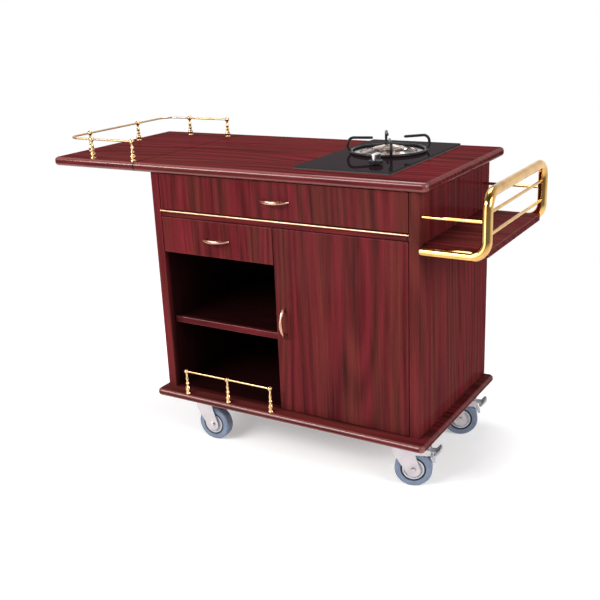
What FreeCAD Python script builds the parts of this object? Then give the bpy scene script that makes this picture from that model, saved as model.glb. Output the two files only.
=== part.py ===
import FreeCAD, Part
import math
import os
from FreeCAD import Placement, Rotation, Vector

# Flambe trolley: a laminate cabinet on casters, with a gas hob let into its worktop,
# a folding leaf with a brass gallery, two drawers, a door, open bays and a railed side shelf.
# X runs along the length, the front faces -Y, Z is up, the origin is on the floor at the middle.

# Carcass
cab_width = 810.0
cab_depth = 486.0
carcass_height = 645.0
side_thick = 25.0
board_thick = 18.0
back_thick = 12.0
bay_width = 359.0
edge_round = 1.5

# Base board
base_thick = 20.0
base_front = 40.0
base_left = 18.0
base_right = 31.0
base_nose = 8.5

# Worktop and folding leaf
top_thick = 25.0
top_front = 13.0
top_rear = 51.0
top_right = 27.0
seam_overhang = 50.0
seam_gap = 1.0
leaf_length = 307.0
top_nose = 10.5
corner_round = 14.0
nose_land = 0.5

# Decks, shelf and trim
top_drawer_space = 105.0
deck_setback = 4.0
shelf_height = 215.0
shelf_setback = 27.0
ceiling_setback = 2.0
strip_height = 4.5
strip_proud = 3.0
vent_count = 5
vent_length = 110.0
vent_height = 8.0
vent_pitch = 22.0
vent_above_base = 60.0
hose_hole_r = 12.0

# Drawers and door fronts
front_thick = 18.0
front_round = 2.5
reveal = 2.0
small_front_height = 102.0
box_thick = 12.0
box_rear_gap = 36.0
bottom_thick = 5.0
groove_depth = 5.0
groove_clear = 0.1
bottom_lift = 4.0
top_box_height = 57.0
small_box_height = 70.0
box_floor_gap = 5.0

# Drawer runners
runner_short = 20.0
runner_height = 35.0
runner_width = 12.7
runner_wall = 1.2
runner_channel = 9.5
runner_play = 0.3
runner_flange_gap = 2.5
runner_lift = 5.0

# Bow handles
handle_length = 90.0
handle_centres = 64.0
handle_rise = 24.0
handle_end_rise = 2.5
handle_mid_width = 10.0
handle_mid_thick = 6.5
handle_end_width = 4.6
handle_end_thick = 3.0
handle_post_r = 3.6
handle_sections = 7
door_handle_inset = 27.0
door_handle_height = 261.0

# Door pivots
pivot_inset = 6.0
pivot_r = 3.0
pivot_in_door = 18.0
pivot_in_board = 12.0
pivot_collar_r = 5.5
running_clear = 0.05
seat_gap = 0.3

# Leaf hinges
hinge_length = 60.0
hinge_plate = 32.0
hinge_sheet = 2.0
knuckle_r = 4.0
knuckle_drop = 0.2
knuckle_gap = 0.25
knuckle_clear = 0.6
hinge_pin_r = 2.0
hinge_from_edge = 95.0

# Leaf stays
stay_eye_from_seam = 80.0
stay_eye_drop = 12.0
stay_fall = 150.0
stay_width = 12.0
stay_thick = 4.0
stay_pin_r = 3.0
stay_from_front = 150.0
stay_from_rear = 86.0
stay_roller_r = 5.0
track_depth = 16.0
track_width = 16.0
track_wall = 1.5
track_roller_in = 9.0
track_end_room = 14.0
bracket_length = 40.0
bracket_width = 24.0
bracket_sheet = 2.0
bracket_ear_thick = 2.5
bracket_ear_r = 7.0

# Brass galleries
rail_r = 2.75
post_foot_r = 8.4
post_foot_h = 2.0
post_cove_r = 6.9
post_cove_h = 5.0
post_vase_r = 7.9
post_vase_h = 13.0
post_waist_r = 4.6
post_waist_h = 22.0
post_ring_r = 6.0
post_ring_h = 25.5
post_shaft_r = 4.2
post_shaft_h = 29.0
post_swell_r = 4.8
post_swell_h = 35.0
post_head_r = 3.2
post_head_h = 44.5
post_neck_r = 3.4
post_neck_h = 48.8
post_ball_r = 7.5
post_rail_height = 56.0
rail_end_past = 5.0
gallery_clear = 0.1
gallery_corner = 42.0
gallery_front_inset = 18.0
gallery_rear_inset = 67.0
gallery_left_inset = 49.0
gallery_seam_inset = 12.0
gallery_front_post = 145.0
gallery_side_post = 97.0
gallery_side_pitch = 220.0
lower_post_first = 90.0
lower_post_pitch = 143.5
lower_post_count = 3
lower_post_inset = 15.0
lower_post_stretch = 1.24

# Side shelf and its rail
tube_dia = 25.0
tube_wall = 1.5
tube_bend = 40.0
tube_socket = 12.0
rail_reach = 165.0
rail_from_front = 14.0
rail_from_rear = 46.0
rail_leg_height = 498.0
rail_top_height = 650.0
rod_r = 4.0
rod_socket = 10.0
cross_rod_height = 583.0
outer_rod_heights = (550.0, 603.0)
socket_clear = 0.1
side_shelf_height = 513.0
side_shelf_clear = 0.5

# Hob
hob_from_left = 434.0
hob_from_front = 54.0
hob_width = 278.0
hob_from_rear = 15.0
glass_thick = 6.0
glass_corner = 6.0
glass_bevel = 1.0
tray_inset = 18.0
tray_rear_gap = 38.0
tray_height = 58.0
tray_wall = 1.5
tray_corner = 10.0
tray_clear = 3.0
burner_from_rear = 187.0

# Burner, drip pan and pan support
glass_hole_r = 84.0
drip_rim_r = 95.0
drip_sheet = 1.2
drip_depth = 22.0
drip_floor_r = 50.0
drip_slots = 12
drip_slot_width = 4.0
burner_stem_r = 14.0
burner_stem_height = 21.0
burner_bowl_r = 36.0
burner_bowl_rise = 15.0
burner_neck_r = 33.0
burner_bore_r = 29.0
burner_neck_above = 3.0
burner_floor = 4.0
cap_r = 43.0
cap_edge = 8.0
cap_crown = 7.0
cap_skirt = 5.0
cap_skirt_clear = 0.5
cap_slots = 24
cap_slot_width = 1.8
cap_slot_height = 3.5
cap_flutes = 8
cap_flute_r = 2.6
cap_flute_from = 13.0
cap_flute_above = 0.6
ring_r = 103.0
ring_wire_r = 4.0
prong_count = 4
prong_turn = 29.0
prong_r = 3.8
prong_bow = 10.0
prong_bow_height = 13.0
prong_lean = 6.0
prong_bend = 16.0
prong_rise = 38.0
prong_reach = 57.0
prong_droop = 2.5

# Gas tap and pipes
knob_from_left = 196.0
knob_forward = 5.1
knob_skirt_r = 18.5
knob_skirt_h = 8.0
knob_skirt_round = 2.5
knob_grip_r = 16.0
knob_grip_width = 14.0
knob_grip_h = 17.0
knob_grip_round = 2.5
knob_lift = 4.0
knob_travel = 3.0
spindle_r = 3.0
spindle_flat = 2.0
spindle_in_knob = 12.0
glass_tap_hole_r = 10.0
tap_r = 13.0
tap_height = 44.0
tap_floor = 10.5
plug_r = 8.0
plug_floor = 4.0
plug_below_top = 1.7
pipe_r = 5.0
pipe_height = 13.0
pipe_bend = 22.0
supply_pipe_offset = 30.0
inlet_nut_r = 9.0
inlet_nut_length = 6.0
inlet_bend = 10.0
inlet_collar_r = 7.5
inlet_collar_length = 5.0
inlet_stub_r = 4.75
inlet_stub_length = 22.0
inlet_drop = 18.0

# Casters
wheel_r = 50.0
wheel_width = 30.0
tread_round = 5.0
hub_r = 29.0
hub_web = 24.0
hub_boss_r = 12.0
hub_rim = 4.0
bond_gap = 0.05
axle_r = 5.0
axle_head_r = 8.0
axle_head = 5.0
caster_trail = 26.0
caster_left = 122.0
caster_right = 52.0
caster_front = 22.0
caster_rear = 130.0
plate_length = 84.0
plate_width = 64.0
plate_sheet = 3.2
plate_corner = 8.0
plate_hole_x = 60.0
plate_hole_y = 44.0
race_r = 24.0
race_h = 7.0
king_pin_r = 6.0
king_head_r = 11.0
king_head_h = 3.5
fork_sheet = 4.0
fork_leg = 3.0
fork_inner = 18.0
fork_half = 27.0
fork_skirt = 12.0
fork_web = 20.0
fork_corner = 6.0
fork_foot_r = 19.0
fork_bend = 2.5
hub_side_play = 0.5
screw_r = 2.4
screw_head_r = 5.0
screw_crown_r = 3.6
screw_head_h = 2.6
screw_length = 15.0
crown_gap = 15.5

# Brake pedals
pedal_pivot_gap = 14.4
pedal_pivot_angle = 53.84
pedal_pin_r = 3.0
pedal_hub_r = 6.5
pedal_ear_r = 8.5
pedal_ear_depth = 17.0
pedal_half_width = 15.0
pedal_arm = 4.0
pad_length = 30.0
pad_thick = 6.0
pad_half_width = 17.0
pad_tilt = 50.0
pad_round = 2.0
pad_corner = 8.0
pad_foot_out = 19.0
pad_foot_drop = 14.5
pad_join = 13.5
shoe_gap = 5.0
shoe_thick = 6.0
shoe_from = 20.0
shoe_to = 38.0
shoe_half_width = 12.0

# Planes that the rest hangs on
left_reach = seam_overhang + leaf_length
right_reach = rail_reach + tube_dia / 2
cab_left = (left_reach - right_reach - cab_width) / 2
cab_right = cab_left + cab_width
cab_front = (base_front - top_rear - cab_depth) / 2
cab_rear = cab_front + cab_depth
inner_left = cab_left + side_thick
inner_right = cab_right - side_thick
inner_rear = cab_rear - back_thick
front_back = cab_front + front_thick
box_rear = inner_rear - box_rear_gap
runner_length = box_rear - front_back - runner_short
caster_height = 2 * wheel_r + crown_gap + fork_sheet + seat_gap + race_h + plate_sheet
base_top = caster_height + base_thick
top_under = base_top + carcass_height
top_level = top_under + top_thick
deck_top = top_under - top_drawer_space
deck_under = deck_top - board_thick
divider_left = inner_left + bay_width
divider_right = divider_left + board_thick
divider_mid = divider_left + board_thick / 2
small_front_bottom = deck_under - reveal - small_front_height
seam_x = cab_left - seam_overhang
tube_r = tube_dia / 2
rail_x = cab_right + rail_reach
rail_front_y = cab_front + rail_from_front
rail_rear_y = cab_rear - rail_from_rear
hob_left = cab_left + hob_from_left
hob_front = cab_front + hob_from_front
hob_rear = cab_rear + top_rear - hob_from_rear
glass_top = top_level + glass_thick
tray_floor = top_level - tray_height + tray_wall
tray_rear = inner_rear - tray_rear_gap
burner_x = hob_left + hob_width / 2
burner_y = hob_rear - burner_from_rear
tap_x = hob_left + knob_from_left
hose_y = (box_rear + inner_rear) / 2
tray_front = hob_front + tray_inset
support_reach = ring_r + prong_bow + prong_r
tap_y = (tray_front + burner_y - support_reach) / 2 - knob_forward

nodes = {}


def block(x0, x1, y0, y1, z0, z1):
    """Box between two corners."""
    return Part.makeBox(x1 - x0, y1 - y0, z1 - z0, Vector(x0, y0, z0))


def rod(r, x, y, z0, z1):
    """Upright cylinder."""
    return Part.makeCylinder(r, z1 - z0, Vector(x, y, z0))


def group(solids):
    """Separate solids kept in one node."""
    return Part.makeCompound(solids)


def fuse_all(solids):
    """One clean solid from overlapping pieces."""
    return solids[0].multiFuse(solids[1:]).removeSplitter()


def polygon(points):
    """Closed face through points."""
    return Part.Face(Part.makePolygon(points + points[:1]))


def edges_at(shape, test):
    """Edges whose two ends both pass a test."""
    return [e for e in shape.Edges if all(test(v.Point) for v in e.Vertexes)]


def near(a, b):
    """True where two lengths agree."""
    return abs(a - b) < 1e-4


def rounded_plate(x0, x1, y0, y1, z0, z1, corner):
    """Flat board with rounded plan corners."""
    plate = block(x0, x1, y0, y1, z0, z1)
    upright = [e for e in plate.Edges if not near(e.Vertexes[0].Z, e.Vertexes[1].Z)]
    return plate.makeFillet(corner, upright)


def nosed_board(x0, x1, y0, y1, z0, z1, corner, nose):
    """Board with rounded plan corners and a bullnose all round its edge."""
    board = rounded_plate(x0, x1, y0, y1, z0, z1, corner)
    rims = edges_at(board, lambda p: near(p.z, z0)) + edges_at(board, lambda p: near(p.z, z1))
    return board.makeFillet(min(nose, (z1 - z0) / 2 - nose_land), rims)


def eased_front(x0, x1, z0, z1):
    """Drawer or door front with its face edges eased."""
    front = block(x0, x1, cab_front, front_back, z0, z1)
    return front.makeFillet(front_round, edges_at(front, lambda p: near(p.y, cab_front)))


def eased_board(x0, x1, y0, y1, z0, z1):
    """Shelf board with its front edges eased."""
    board = block(x0, x1, y0, y1, z0, z1)
    return board.makeFillet(edge_round, edges_at(board, lambda p: near(p.y, y0)))


def line(a, b):
    """Straight edge."""
    return Part.LineSegment(a, b).toShape()


def bent_path(corners, bend):
    """Wire through corner points, with an arc of one radius at each inner corner."""
    edges = []
    start = corners[0]
    for before, corner, after in zip(corners, corners[1:], corners[2:]):
        u = (before - corner).normalize()
        v = (after - corner).normalize()
        half = u.getAngle(v) / 2
        setback = bend / math.tan(half)
        a = corner + u * setback
        b = corner + v * setback
        bisector = (u + v).normalize()
        mid = corner + bisector * (bend / math.sin(half) - bend)
        edges += [line(start, a), Part.Arc(a, mid, b).toShape()]
        start = b
    edges.append(line(start, corners[-1]))
    return Part.Wire(edges)


def pipe(path, r):
    """Round bar swept along a path."""
    start = path.Edges[0]
    direction = start.tangentAt(start.FirstParameter)
    ring = Part.makeCircle(r, start.Vertexes[0].Point, direction)
    return path.makePipeShell([Part.Wire(ring)], True, False)


def revolved(profile, x, y):
    """Solid of revolution about an upright axis, from (radius, height) edges."""
    face = Part.Face(Part.Wire(profile))
    return face.revolve(Vector(0, 0, 0), Vector(0, 0, 1), 360).translated(Vector(x, y, 0))


def turned(points, x, y):
    """Solid of revolution of a straight-sided (radius, height) outline."""
    face = polygon([Vector(r, 0, z) for r, z in points])
    return face.revolve(Vector(0, 0, 0), Vector(0, 0, 1), 360).translated(Vector(x, y, 0))


# Carcass boards
def build_carcass():
    """Base, sides, back, divider, deck, bay shelves and the trim strip."""
    base = nosed_board(cab_left - base_left, cab_right + base_right, cab_front - base_front, cab_rear,
                       caster_height, base_top, corner_round, base_nose)
    pivot_x = inner_right - reveal - pivot_inset
    pivot_y = cab_front + pivot_inset
    hole_r = pivot_r + running_clear
    base = base.cut(rod(hole_r, pivot_x, pivot_y, base_top - pivot_in_board, base_top))
    for x, y in caster_places().values():
        for dx, dy in screw_places():
            bore_top = caster_height + screw_length
            base = base.cut(rod(screw_r + running_clear, x + dx, y + dy, caster_height, bore_top))
    nodes["base_board"] = base

    left = block(cab_left, inner_left, cab_front, cab_rear, base_top, top_under)
    nodes["left_side_panel"] = left.makeFillet(edge_round, upright_front_edges(left))
    right = block(inner_right, cab_right, cab_front, cab_rear, base_top, top_under)
    right = right.makeFillet(edge_round, upright_front_edges(right))
    for y in (rail_front_y, rail_rear_y):
        leg = Vector(cab_right - tube_socket, y, base_top + rail_leg_height)
        bar = Vector(cab_right - rod_socket, y, base_top + cross_rod_height)
        right = right.cut(Part.makeCylinder(tube_r + socket_clear, tube_socket, leg, Vector(1, 0, 0)))
        right = right.cut(Part.makeCylinder(rod_r + socket_clear, rod_socket, bar, Vector(1, 0, 0)))
    nodes["right_side_panel"] = right

    back = block(inner_left, inner_right, inner_rear, cab_rear, base_top, top_under)
    vent_x = (divider_right + inner_right) / 2
    for row in range(vent_count):
        z = base_top + vent_above_base + row * vent_pitch
        slot = block(vent_x - vent_length / 2, vent_x + vent_length / 2, inner_rear, cab_rear,
                     z, z + vent_height)
        ends = [e for e in slot.Edges if not near(e.Vertexes[0].Y, e.Vertexes[1].Y)]
        back = back.cut(slot.makeFillet(vent_height / 2 - running_clear, ends))
    nodes["back_panel"] = back

    nodes["centre_divider"] = block(divider_left, divider_right, front_back + ceiling_setback, inner_rear,
                                    base_top, deck_under)
    deck = block(inner_left, inner_right, cab_front + deck_setback, inner_rear, deck_under, deck_top)
    deck = deck.cut(rod(hole_r, pivot_x, pivot_y, deck_under, deck_under + pivot_in_board))
    deck = deck.cut(rod(hose_hole_r, tap_x + supply_pipe_offset, hose_y, deck_under, deck_top))
    nodes["drawer_deck"] = deck

    shelf_top = base_top + shelf_height
    shelf = eased_board(inner_left, divider_left, cab_front + shelf_setback, inner_rear,
                        shelf_top - board_thick, shelf_top)
    ceiling = block(inner_left, divider_left, front_back + ceiling_setback, inner_rear,
                    small_front_bottom, small_front_bottom + board_thick)
    nodes["bay_shelves"] = group([shelf, ceiling])

    strip_r = strip_height / 2
    nose = cab_front - strip_proud + strip_r
    strip = block(inner_left, inner_right, nose, cab_front + deck_setback, deck_top - strip_height, deck_top)
    bead = Part.makeCylinder(strip_r, inner_right - inner_left,
                             Vector(inner_left, nose, deck_top - strip_r), Vector(1, 0, 0))
    nodes["trim_strip"] = fuse_all([strip, bead])


def upright_front_edges(panel):
    """The two upright front edges of a side panel."""
    return [e for e in edges_at(panel, lambda p: near(p.y, cab_front))
            if not near(e.Vertexes[0].Z, e.Vertexes[1].Z)]


# Worktop and leaf
def build_tops():
    """One bullnosed top, parted at the seam into the fixed top and the folding leaf."""
    front = cab_front - top_front
    rear = cab_rear + top_rear
    whole = nosed_board(seam_x - leaf_length, cab_right + top_right, front, rear, top_under, top_level,
                        corner_round, top_nose)
    reach = leaf_length + cab_width + seam_overhang + top_right
    right_of_seam = block(seam_x + seam_gap / 2, seam_x + reach, front, rear, top_under, top_level)
    left_of_seam = block(seam_x - reach, seam_x - seam_gap / 2, front, rear, top_under, top_level)
    x0 = hob_left + tray_inset - tray_clear
    x1 = hob_left + hob_width - tray_inset + tray_clear
    y0 = hob_front + tray_inset - tray_clear
    y1 = tray_rear + tray_clear
    cut_out = rounded_plate(x0, x1, y0, y1, top_under, top_level, tray_corner)
    nodes["worktop"] = whole.common(right_of_seam).cut(cut_out)
    nodes["leaf_board"] = whole.common(left_of_seam)


# Leaf hinges
def build_leaf_hinges():
    """Butt hinges under the seam: outer knuckles and pin on the top, inner knuckle on the leaf."""
    axis_z = top_under - knuckle_r - knuckle_drop
    third = hinge_length / 3
    ends = (cab_front - top_front + hinge_from_edge, cab_rear + top_rear - hinge_from_edge)
    fixed, moving = [], []
    for middle in ends:
        y0 = middle - hinge_length / 2
        outer = [(y0, third - knuckle_gap), (y0 + 2 * third + knuckle_gap, third - knuckle_gap)]
        inner = [(y0 + third, third)]
        pin = Part.makeCylinder(hinge_pin_r, hinge_length, Vector(seam_x, y0, axis_z), Vector(0, 1, 0))
        fixed.append(hinge_half(outer, inner, y0, axis_z, 1).fuse(pin).removeSplitter())
        bore = Part.makeCylinder(hinge_pin_r + running_clear, hinge_length,
                                 Vector(seam_x, y0, axis_z), Vector(0, 1, 0))
        moving.append(hinge_half(inner, outer, y0, axis_z, -1).cut(bore))
    nodes["leaf_hinge_fixed"] = group(fixed)
    nodes["leaf_hinge_moving"] = group(moving)


def hinge_half(own, other, y0, axis_z, side):
    """Hinge plate on one side of the seam with its own knuckles, notched for the other half's."""
    far = seam_x + side * hinge_plate
    y1 = y0 + hinge_length
    plate = block(min(seam_x, far), max(seam_x, far), y0, y1, top_under - hinge_sheet, top_under)
    for y, length in other:
        notch = Part.makeCylinder(knuckle_r + knuckle_clear, length + 2 * knuckle_gap,
                                  Vector(seam_x, y - knuckle_gap, axis_z), Vector(0, 1, 0))
        plate = plate.cut(notch)
    barrels = [Part.makeCylinder(knuckle_r, length, Vector(seam_x, y, axis_z), Vector(0, 1, 0))
               for y, length in own]
    return fuse_all([plate] + barrels)


# Leaf stays
def build_stays():
    """Arms that prop the leaf, each pivoted under it and running in an upright track on the cabinet."""
    eye = Vector(seam_x - stay_eye_from_seam, 0, top_under - stay_eye_drop)
    foot = Vector(cab_left - track_roller_in, 0, eye.z - stay_fall)
    hinge = Vector(seam_x, 0, top_under - knuckle_r - knuckle_drop)
    arm_length = (foot - eye).Length
    arm, hang = eye - hinge, foot.x - hinge.x
    folded_eye = Vector(-arm.z, 0, arm.x)
    drop = math.sqrt(arm_length ** 2 - (hang - folded_eye.x) ** 2)
    folded_foot_z = hinge.z + folded_eye.z - drop
    arms, brackets, tracks = [], [], []
    for y in (cab_front + stay_from_front, cab_rear - stay_from_rear):
        arms.append(stay_arm(eye, foot, y))
        brackets.append(stay_bracket(eye, y))
        tracks.append(stay_track(foot.z + track_end_room, folded_foot_z - track_end_room, y))
    nodes["stay_arms"] = group(arms)
    nodes["stay_brackets"] = group(brackets)
    nodes["stay_tracks"] = group(tracks)


def stay_arm(eye, foot, y):
    """Flat bar with round ends, an eye at the top and a cross roller at the foot."""
    side = (foot - eye).cross(Vector(0, 1, 0)).normalize() * (stay_width / 2)
    lift = Vector(0, y - stay_thick / 2, 0)
    along = Vector(0, stay_thick, 0)
    bar = polygon([p + lift for p in (eye + side, foot + side, foot - side, eye - side)]).extrude(along)
    ends = [Part.makeCylinder(stay_width / 2, stay_thick, p + lift, Vector(0, 1, 0)) for p in (eye, foot)]
    roller_width = track_width - 2 * track_wall - 2 * seat_gap
    roller = Part.makeCylinder(stay_roller_r, roller_width, foot + Vector(0, y - roller_width / 2, 0),
                               Vector(0, 1, 0))
    bore = Part.makeCylinder(stay_pin_r + running_clear, stay_thick, eye + lift, Vector(0, 1, 0))
    return fuse_all([bar, roller] + ends).cut(bore)


def stay_bracket(eye, y):
    """Clevis under the leaf: a foot plate, two ears and the pin that carries the arm."""
    plate = block(eye.x - bracket_length / 2, eye.x + bracket_length / 2, y - bracket_width / 2,
                  y + bracket_width / 2, top_under - bracket_sheet, top_under)
    inside = stay_thick / 2 + seat_gap
    pieces = [plate]
    for y0 in (y - inside - bracket_ear_thick, y + inside):
        boss = Part.makeCylinder(bracket_ear_r, bracket_ear_thick, Vector(eye.x, y0, eye.z), Vector(0, 1, 0))
        web = block(eye.x - bracket_ear_r, eye.x + bracket_ear_r, y0, y0 + bracket_ear_thick,
                    eye.z, top_under - bracket_sheet)
        pieces += [boss, web]
    span = 2 * (inside + bracket_ear_thick)
    pieces.append(Part.makeCylinder(stay_pin_r, span, Vector(eye.x, y - span / 2, eye.z), Vector(0, 1, 0)))
    return fuse_all(pieces)


def stay_track(z1, z0, y):
    """Upright channel on the cabinet's left face, open towards the leaf."""
    outer = block(cab_left - track_depth, cab_left, y - track_width / 2, y + track_width / 2, z0, z1)
    hollow = block(cab_left - track_depth, cab_left - track_wall, y - track_width / 2 + track_wall,
                   y + track_width / 2 - track_wall, z0, z1)
    return outer.cut(hollow)


# Brass galleries
def turned_post(x, y, z, stretch=1.0):
    """Turned baluster with a foot, vase, ring, slim shaft and a ball for the rail; stretch lengthens it."""
    ball_z = post_rail_height * stretch
    ball_foot = ball_z - math.sqrt(post_ball_r ** 2 - post_neck_r ** 2)

    def p(r, h):
        return Vector(r, 0, h)

    turns = [p(r, h * stretch) for r, h in (
        (post_foot_r, post_foot_h), (post_cove_r, post_cove_h), (post_vase_r, post_vase_h),
        (post_waist_r, post_waist_h), (post_ring_r, post_ring_h), (post_shaft_r, post_shaft_h),
        (post_swell_r, post_swell_h), (post_head_r, post_head_h), (post_neck_r, post_neck_h))]
    stem = Part.BSplineCurve()
    stem.interpolate(turns)
    crown = p(0, ball_z + post_ball_r)
    profile = [
        line(p(0, 0), p(post_foot_r, 0)),
        line(p(post_foot_r, 0), turns[0]),
        stem.toShape(),
        line(turns[-1], p(post_neck_r, ball_foot)),
        Part.Arc(p(post_neck_r, ball_foot), p(post_ball_r, ball_z), crown).toShape(),
        line(crown, p(0, 0)),
    ]
    return revolved(profile, x, y).translated(Vector(0, 0, z))


def build_galleries():
    """Gallery round three sides of the leaf, and the low one along the base's front."""
    z = top_level
    rail_z = z + post_rail_height
    front = cab_front - top_front + gallery_front_inset
    rear = cab_rear + top_rear - gallery_rear_inset
    left = seam_x - leaf_length + gallery_left_inset
    right = seam_x - gallery_seam_inset
    side_post = front + gallery_side_post
    places = [(right, front), (left + gallery_front_post - gallery_left_inset, front),
              (left, side_post), (left, side_post + gallery_side_pitch),
              (left + gallery_front_post - gallery_left_inset, rear), (right, rear)]
    corners = [Vector(right + rail_end_past, front, rail_z), Vector(left, front, rail_z),
               Vector(left, rear, rail_z), Vector(right + rail_end_past, rear, rail_z)]
    path = bent_path(corners, gallery_corner)
    bore = pipe(path, rail_r + gallery_clear)
    nodes["leaf_gallery_posts"] = group([turned_post(x, y, z).cut(bore) for x, y in places])
    nodes["leaf_gallery_rail"] = pipe(path, rail_r)

    y = cab_front - base_front + lower_post_inset
    xs = [cab_left + lower_post_first + n * lower_post_pitch for n in range(lower_post_count)]
    start = Vector(xs[0] - rail_end_past, y, base_top + post_rail_height * lower_post_stretch)
    length = xs[-1] - xs[0] + 2 * rail_end_past
    along = Vector(1, 0, 0)
    bore = Part.makeCylinder(rail_r + gallery_clear, length, start, along)
    posts = [turned_post(x, y, base_top, lower_post_stretch).cut(bore) for x in xs]
    nodes["lower_gallery_posts"] = group(posts)
    nodes["lower_gallery_rail"] = Part.makeCylinder(rail_r, length, start, along)


# Side shelf and rail
def build_side_shelf():
    """Bracketed bottle shelf on the right, held in one bent tube with thin rods across."""
    top = base_top + side_shelf_height
    shelf = block(cab_right, rail_x, rail_front_y + tube_r + side_shelf_clear,
                  rail_rear_y - tube_r - side_shelf_clear, top - board_thick, top)
    outer = edges_at(shelf, lambda p: near(p.x, rail_x))
    nodes["side_shelf"] = shelf.makeFillet(edge_round, outer)

    leg_z = base_top + rail_leg_height
    bar_z = base_top + rail_top_height
    start_x = cab_right - tube_socket + seat_gap
    corners = [Vector(start_x, rail_front_y, leg_z), Vector(rail_x, rail_front_y, leg_z),
               Vector(rail_x, rail_front_y, bar_z), Vector(rail_x, rail_rear_y, bar_z),
               Vector(rail_x, rail_rear_y, leg_z), Vector(start_x, rail_rear_y, leg_z)]
    path = bent_path(corners, tube_bend)
    nodes["side_rail_tube"] = pipe(path, tube_r).cut(pipe(path, tube_r - tube_wall))

    rods = []
    rod_z = base_top + cross_rod_height
    rod_x = cab_right - rod_socket + seat_gap
    sides = (rail_front_y, rail_rear_y)
    uprights = group([rod(tube_r + socket_clear, rail_x, y, leg_z, bar_z) for y in sides])
    for y in sides:
        rods.append(Part.makeCylinder(rod_r, rail_x - rod_x, Vector(rod_x, y, rod_z), Vector(1, 0, 0)))
    for height in outer_rod_heights:
        at = Vector(rail_x, rail_front_y, base_top + height)
        rods.append(Part.makeCylinder(rod_r, rail_rear_y - rail_front_y, at, Vector(0, 1, 0)))
    nodes["side_rail_rods"] = group([bar.cut(uprights).Solids[0] for bar in rods])


# Handles
def bow_handle():
    """Bow handle along X, standing out towards -Y from the origin, tapering to its ends."""
    half = handle_length / 2
    sagitta = handle_rise - handle_end_rise
    radius = (half ** 2 + sagitta ** 2) / (2 * sagitta)
    sweep = math.asin(half / radius)
    sections = []
    for n in range(handle_sections):
        share = 2 * n / (handle_sections - 1) - 1
        angle = share * sweep
        fullness = math.cos(share * math.pi / 2)
        width = handle_end_width + (handle_mid_width - handle_end_width) * fullness
        thick = handle_end_thick + (handle_mid_thick - handle_end_thick) * fullness
        out = handle_rise - radius + radius * math.cos(angle)
        ring = Part.Ellipse(Vector(0, 0, 0), width / 2, thick / 2).toShape()
        wire = Part.Wire(ring)
        turn = Rotation(Vector(0, 0, 1), math.degrees(angle)).multiply(
            Rotation(Vector(0, 0, 1), Vector(1, 0, 0)))
        wire.Placement = Placement(Vector(radius * math.sin(angle), -out, 0), turn)
        sections.append(wire)
    bow = Part.makeLoft(sections, True)
    pieces = [bow]
    for x in (-handle_centres / 2, handle_centres / 2):
        out = handle_rise - radius + math.sqrt(radius ** 2 - x ** 2)
        pieces.append(Part.makeCylinder(handle_post_r, out, Vector(x, 0, 0), Vector(0, -1, 0)))
    return fuse_all(pieces)


# Drawers
def build_drawer(name, front, wall_left, wall_right, floor, box_height):
    """Drawer front, box with a grooved-in bottom, bow handle, and the drawer's half of the runners."""
    nodes[name + "_front"] = eased_front(*front)
    left = wall_left + runner_width
    right = wall_right - runner_width
    z0 = floor + box_floor_gap
    z1 = z0 + box_height
    rear = box_rear
    z_bottom = z0 + bottom_lift
    groove = block(left + box_thick - groove_depth, right - box_thick + groove_depth, front_back, rear,
                   z_bottom - groove_clear, z_bottom + bottom_thick + groove_clear)
    sides = [block(left, left + box_thick, front_back, rear, z0, z1),
             block(right - box_thick, right, front_back, rear, z0, z1)]
    back = block(left + box_thick, right - box_thick, rear - box_thick, rear, z_bottom + bottom_thick, z1)
    tongue = groove_depth - groove_clear
    bottom = block(left + box_thick - tongue, right - box_thick + tongue, front_back, rear,
                   z_bottom, z_bottom + bottom_thick)
    nodes[name + "_box"] = group([side.cut(groove) for side in sides] + [back, bottom])
    x0, x1, front_z0, front_z1 = front
    place = Vector((x0 + x1) / 2, cab_front, (front_z0 + front_z1) / 2)
    nodes[name + "_handle"] = bow_handle().translated(place)
    inner = [runner_inner(wall_left, 1, z0 + runner_lift), runner_inner(wall_right, -1, z0 + runner_lift)]
    nodes[name + "_slides"] = group(inner)
    return [runner_outer(wall_left, 1, z0 + runner_lift), runner_outer(wall_right, -1, z0 + runner_lift)]


def runner_outer(wall, side, z):
    """Cabinet's half of a runner: a channel open towards the drawer."""
    h, t, c = runner_height, runner_wall, runner_channel
    outline = [(0, 0), (c, 0), (c, t), (t, t), (t, h - t), (c, h - t), (c, h), (0, h)]
    return runner_bar(outline, wall, side, z)


def runner_inner(wall, side, z):
    """Drawer's half of a runner: a channel that slides inside the cabinet's half."""
    h, t, w = runner_height, runner_wall, runner_width
    low = t + runner_play
    high = h - t - runner_play
    g = runner_flange_gap
    outline = [(w, low), (g, low), (g, low + t), (w - t, low + t), (w - t, high - t), (g, high - t),
               (g, high), (w, high)]
    return runner_bar(outline, wall, side, z)


def runner_bar(outline, wall, side, z):
    """Extrude a runner section along the drawer's travel."""
    points = [Vector(wall + side * x, front_back, z + h) for x, h in outline]
    return polygon(points).extrude(Vector(0, runner_length, 0))


def build_drawers():
    """The full-width top drawer and the small drawer over the open bays."""
    top_front_panel = (inner_left + reveal, inner_right - reveal, deck_top + reveal, top_under - reveal)
    small_front_panel = (inner_left + reveal, divider_mid - reveal / 2,
                         small_front_bottom, small_front_bottom + small_front_height)
    runners = build_drawer("top_drawer", top_front_panel, inner_left, inner_right, deck_top, top_box_height)
    runners += build_drawer("small_drawer", small_front_panel, inner_left, divider_left,
                            small_front_bottom + board_thick, small_box_height)
    nodes["drawer_runners"] = group(runners)


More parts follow.
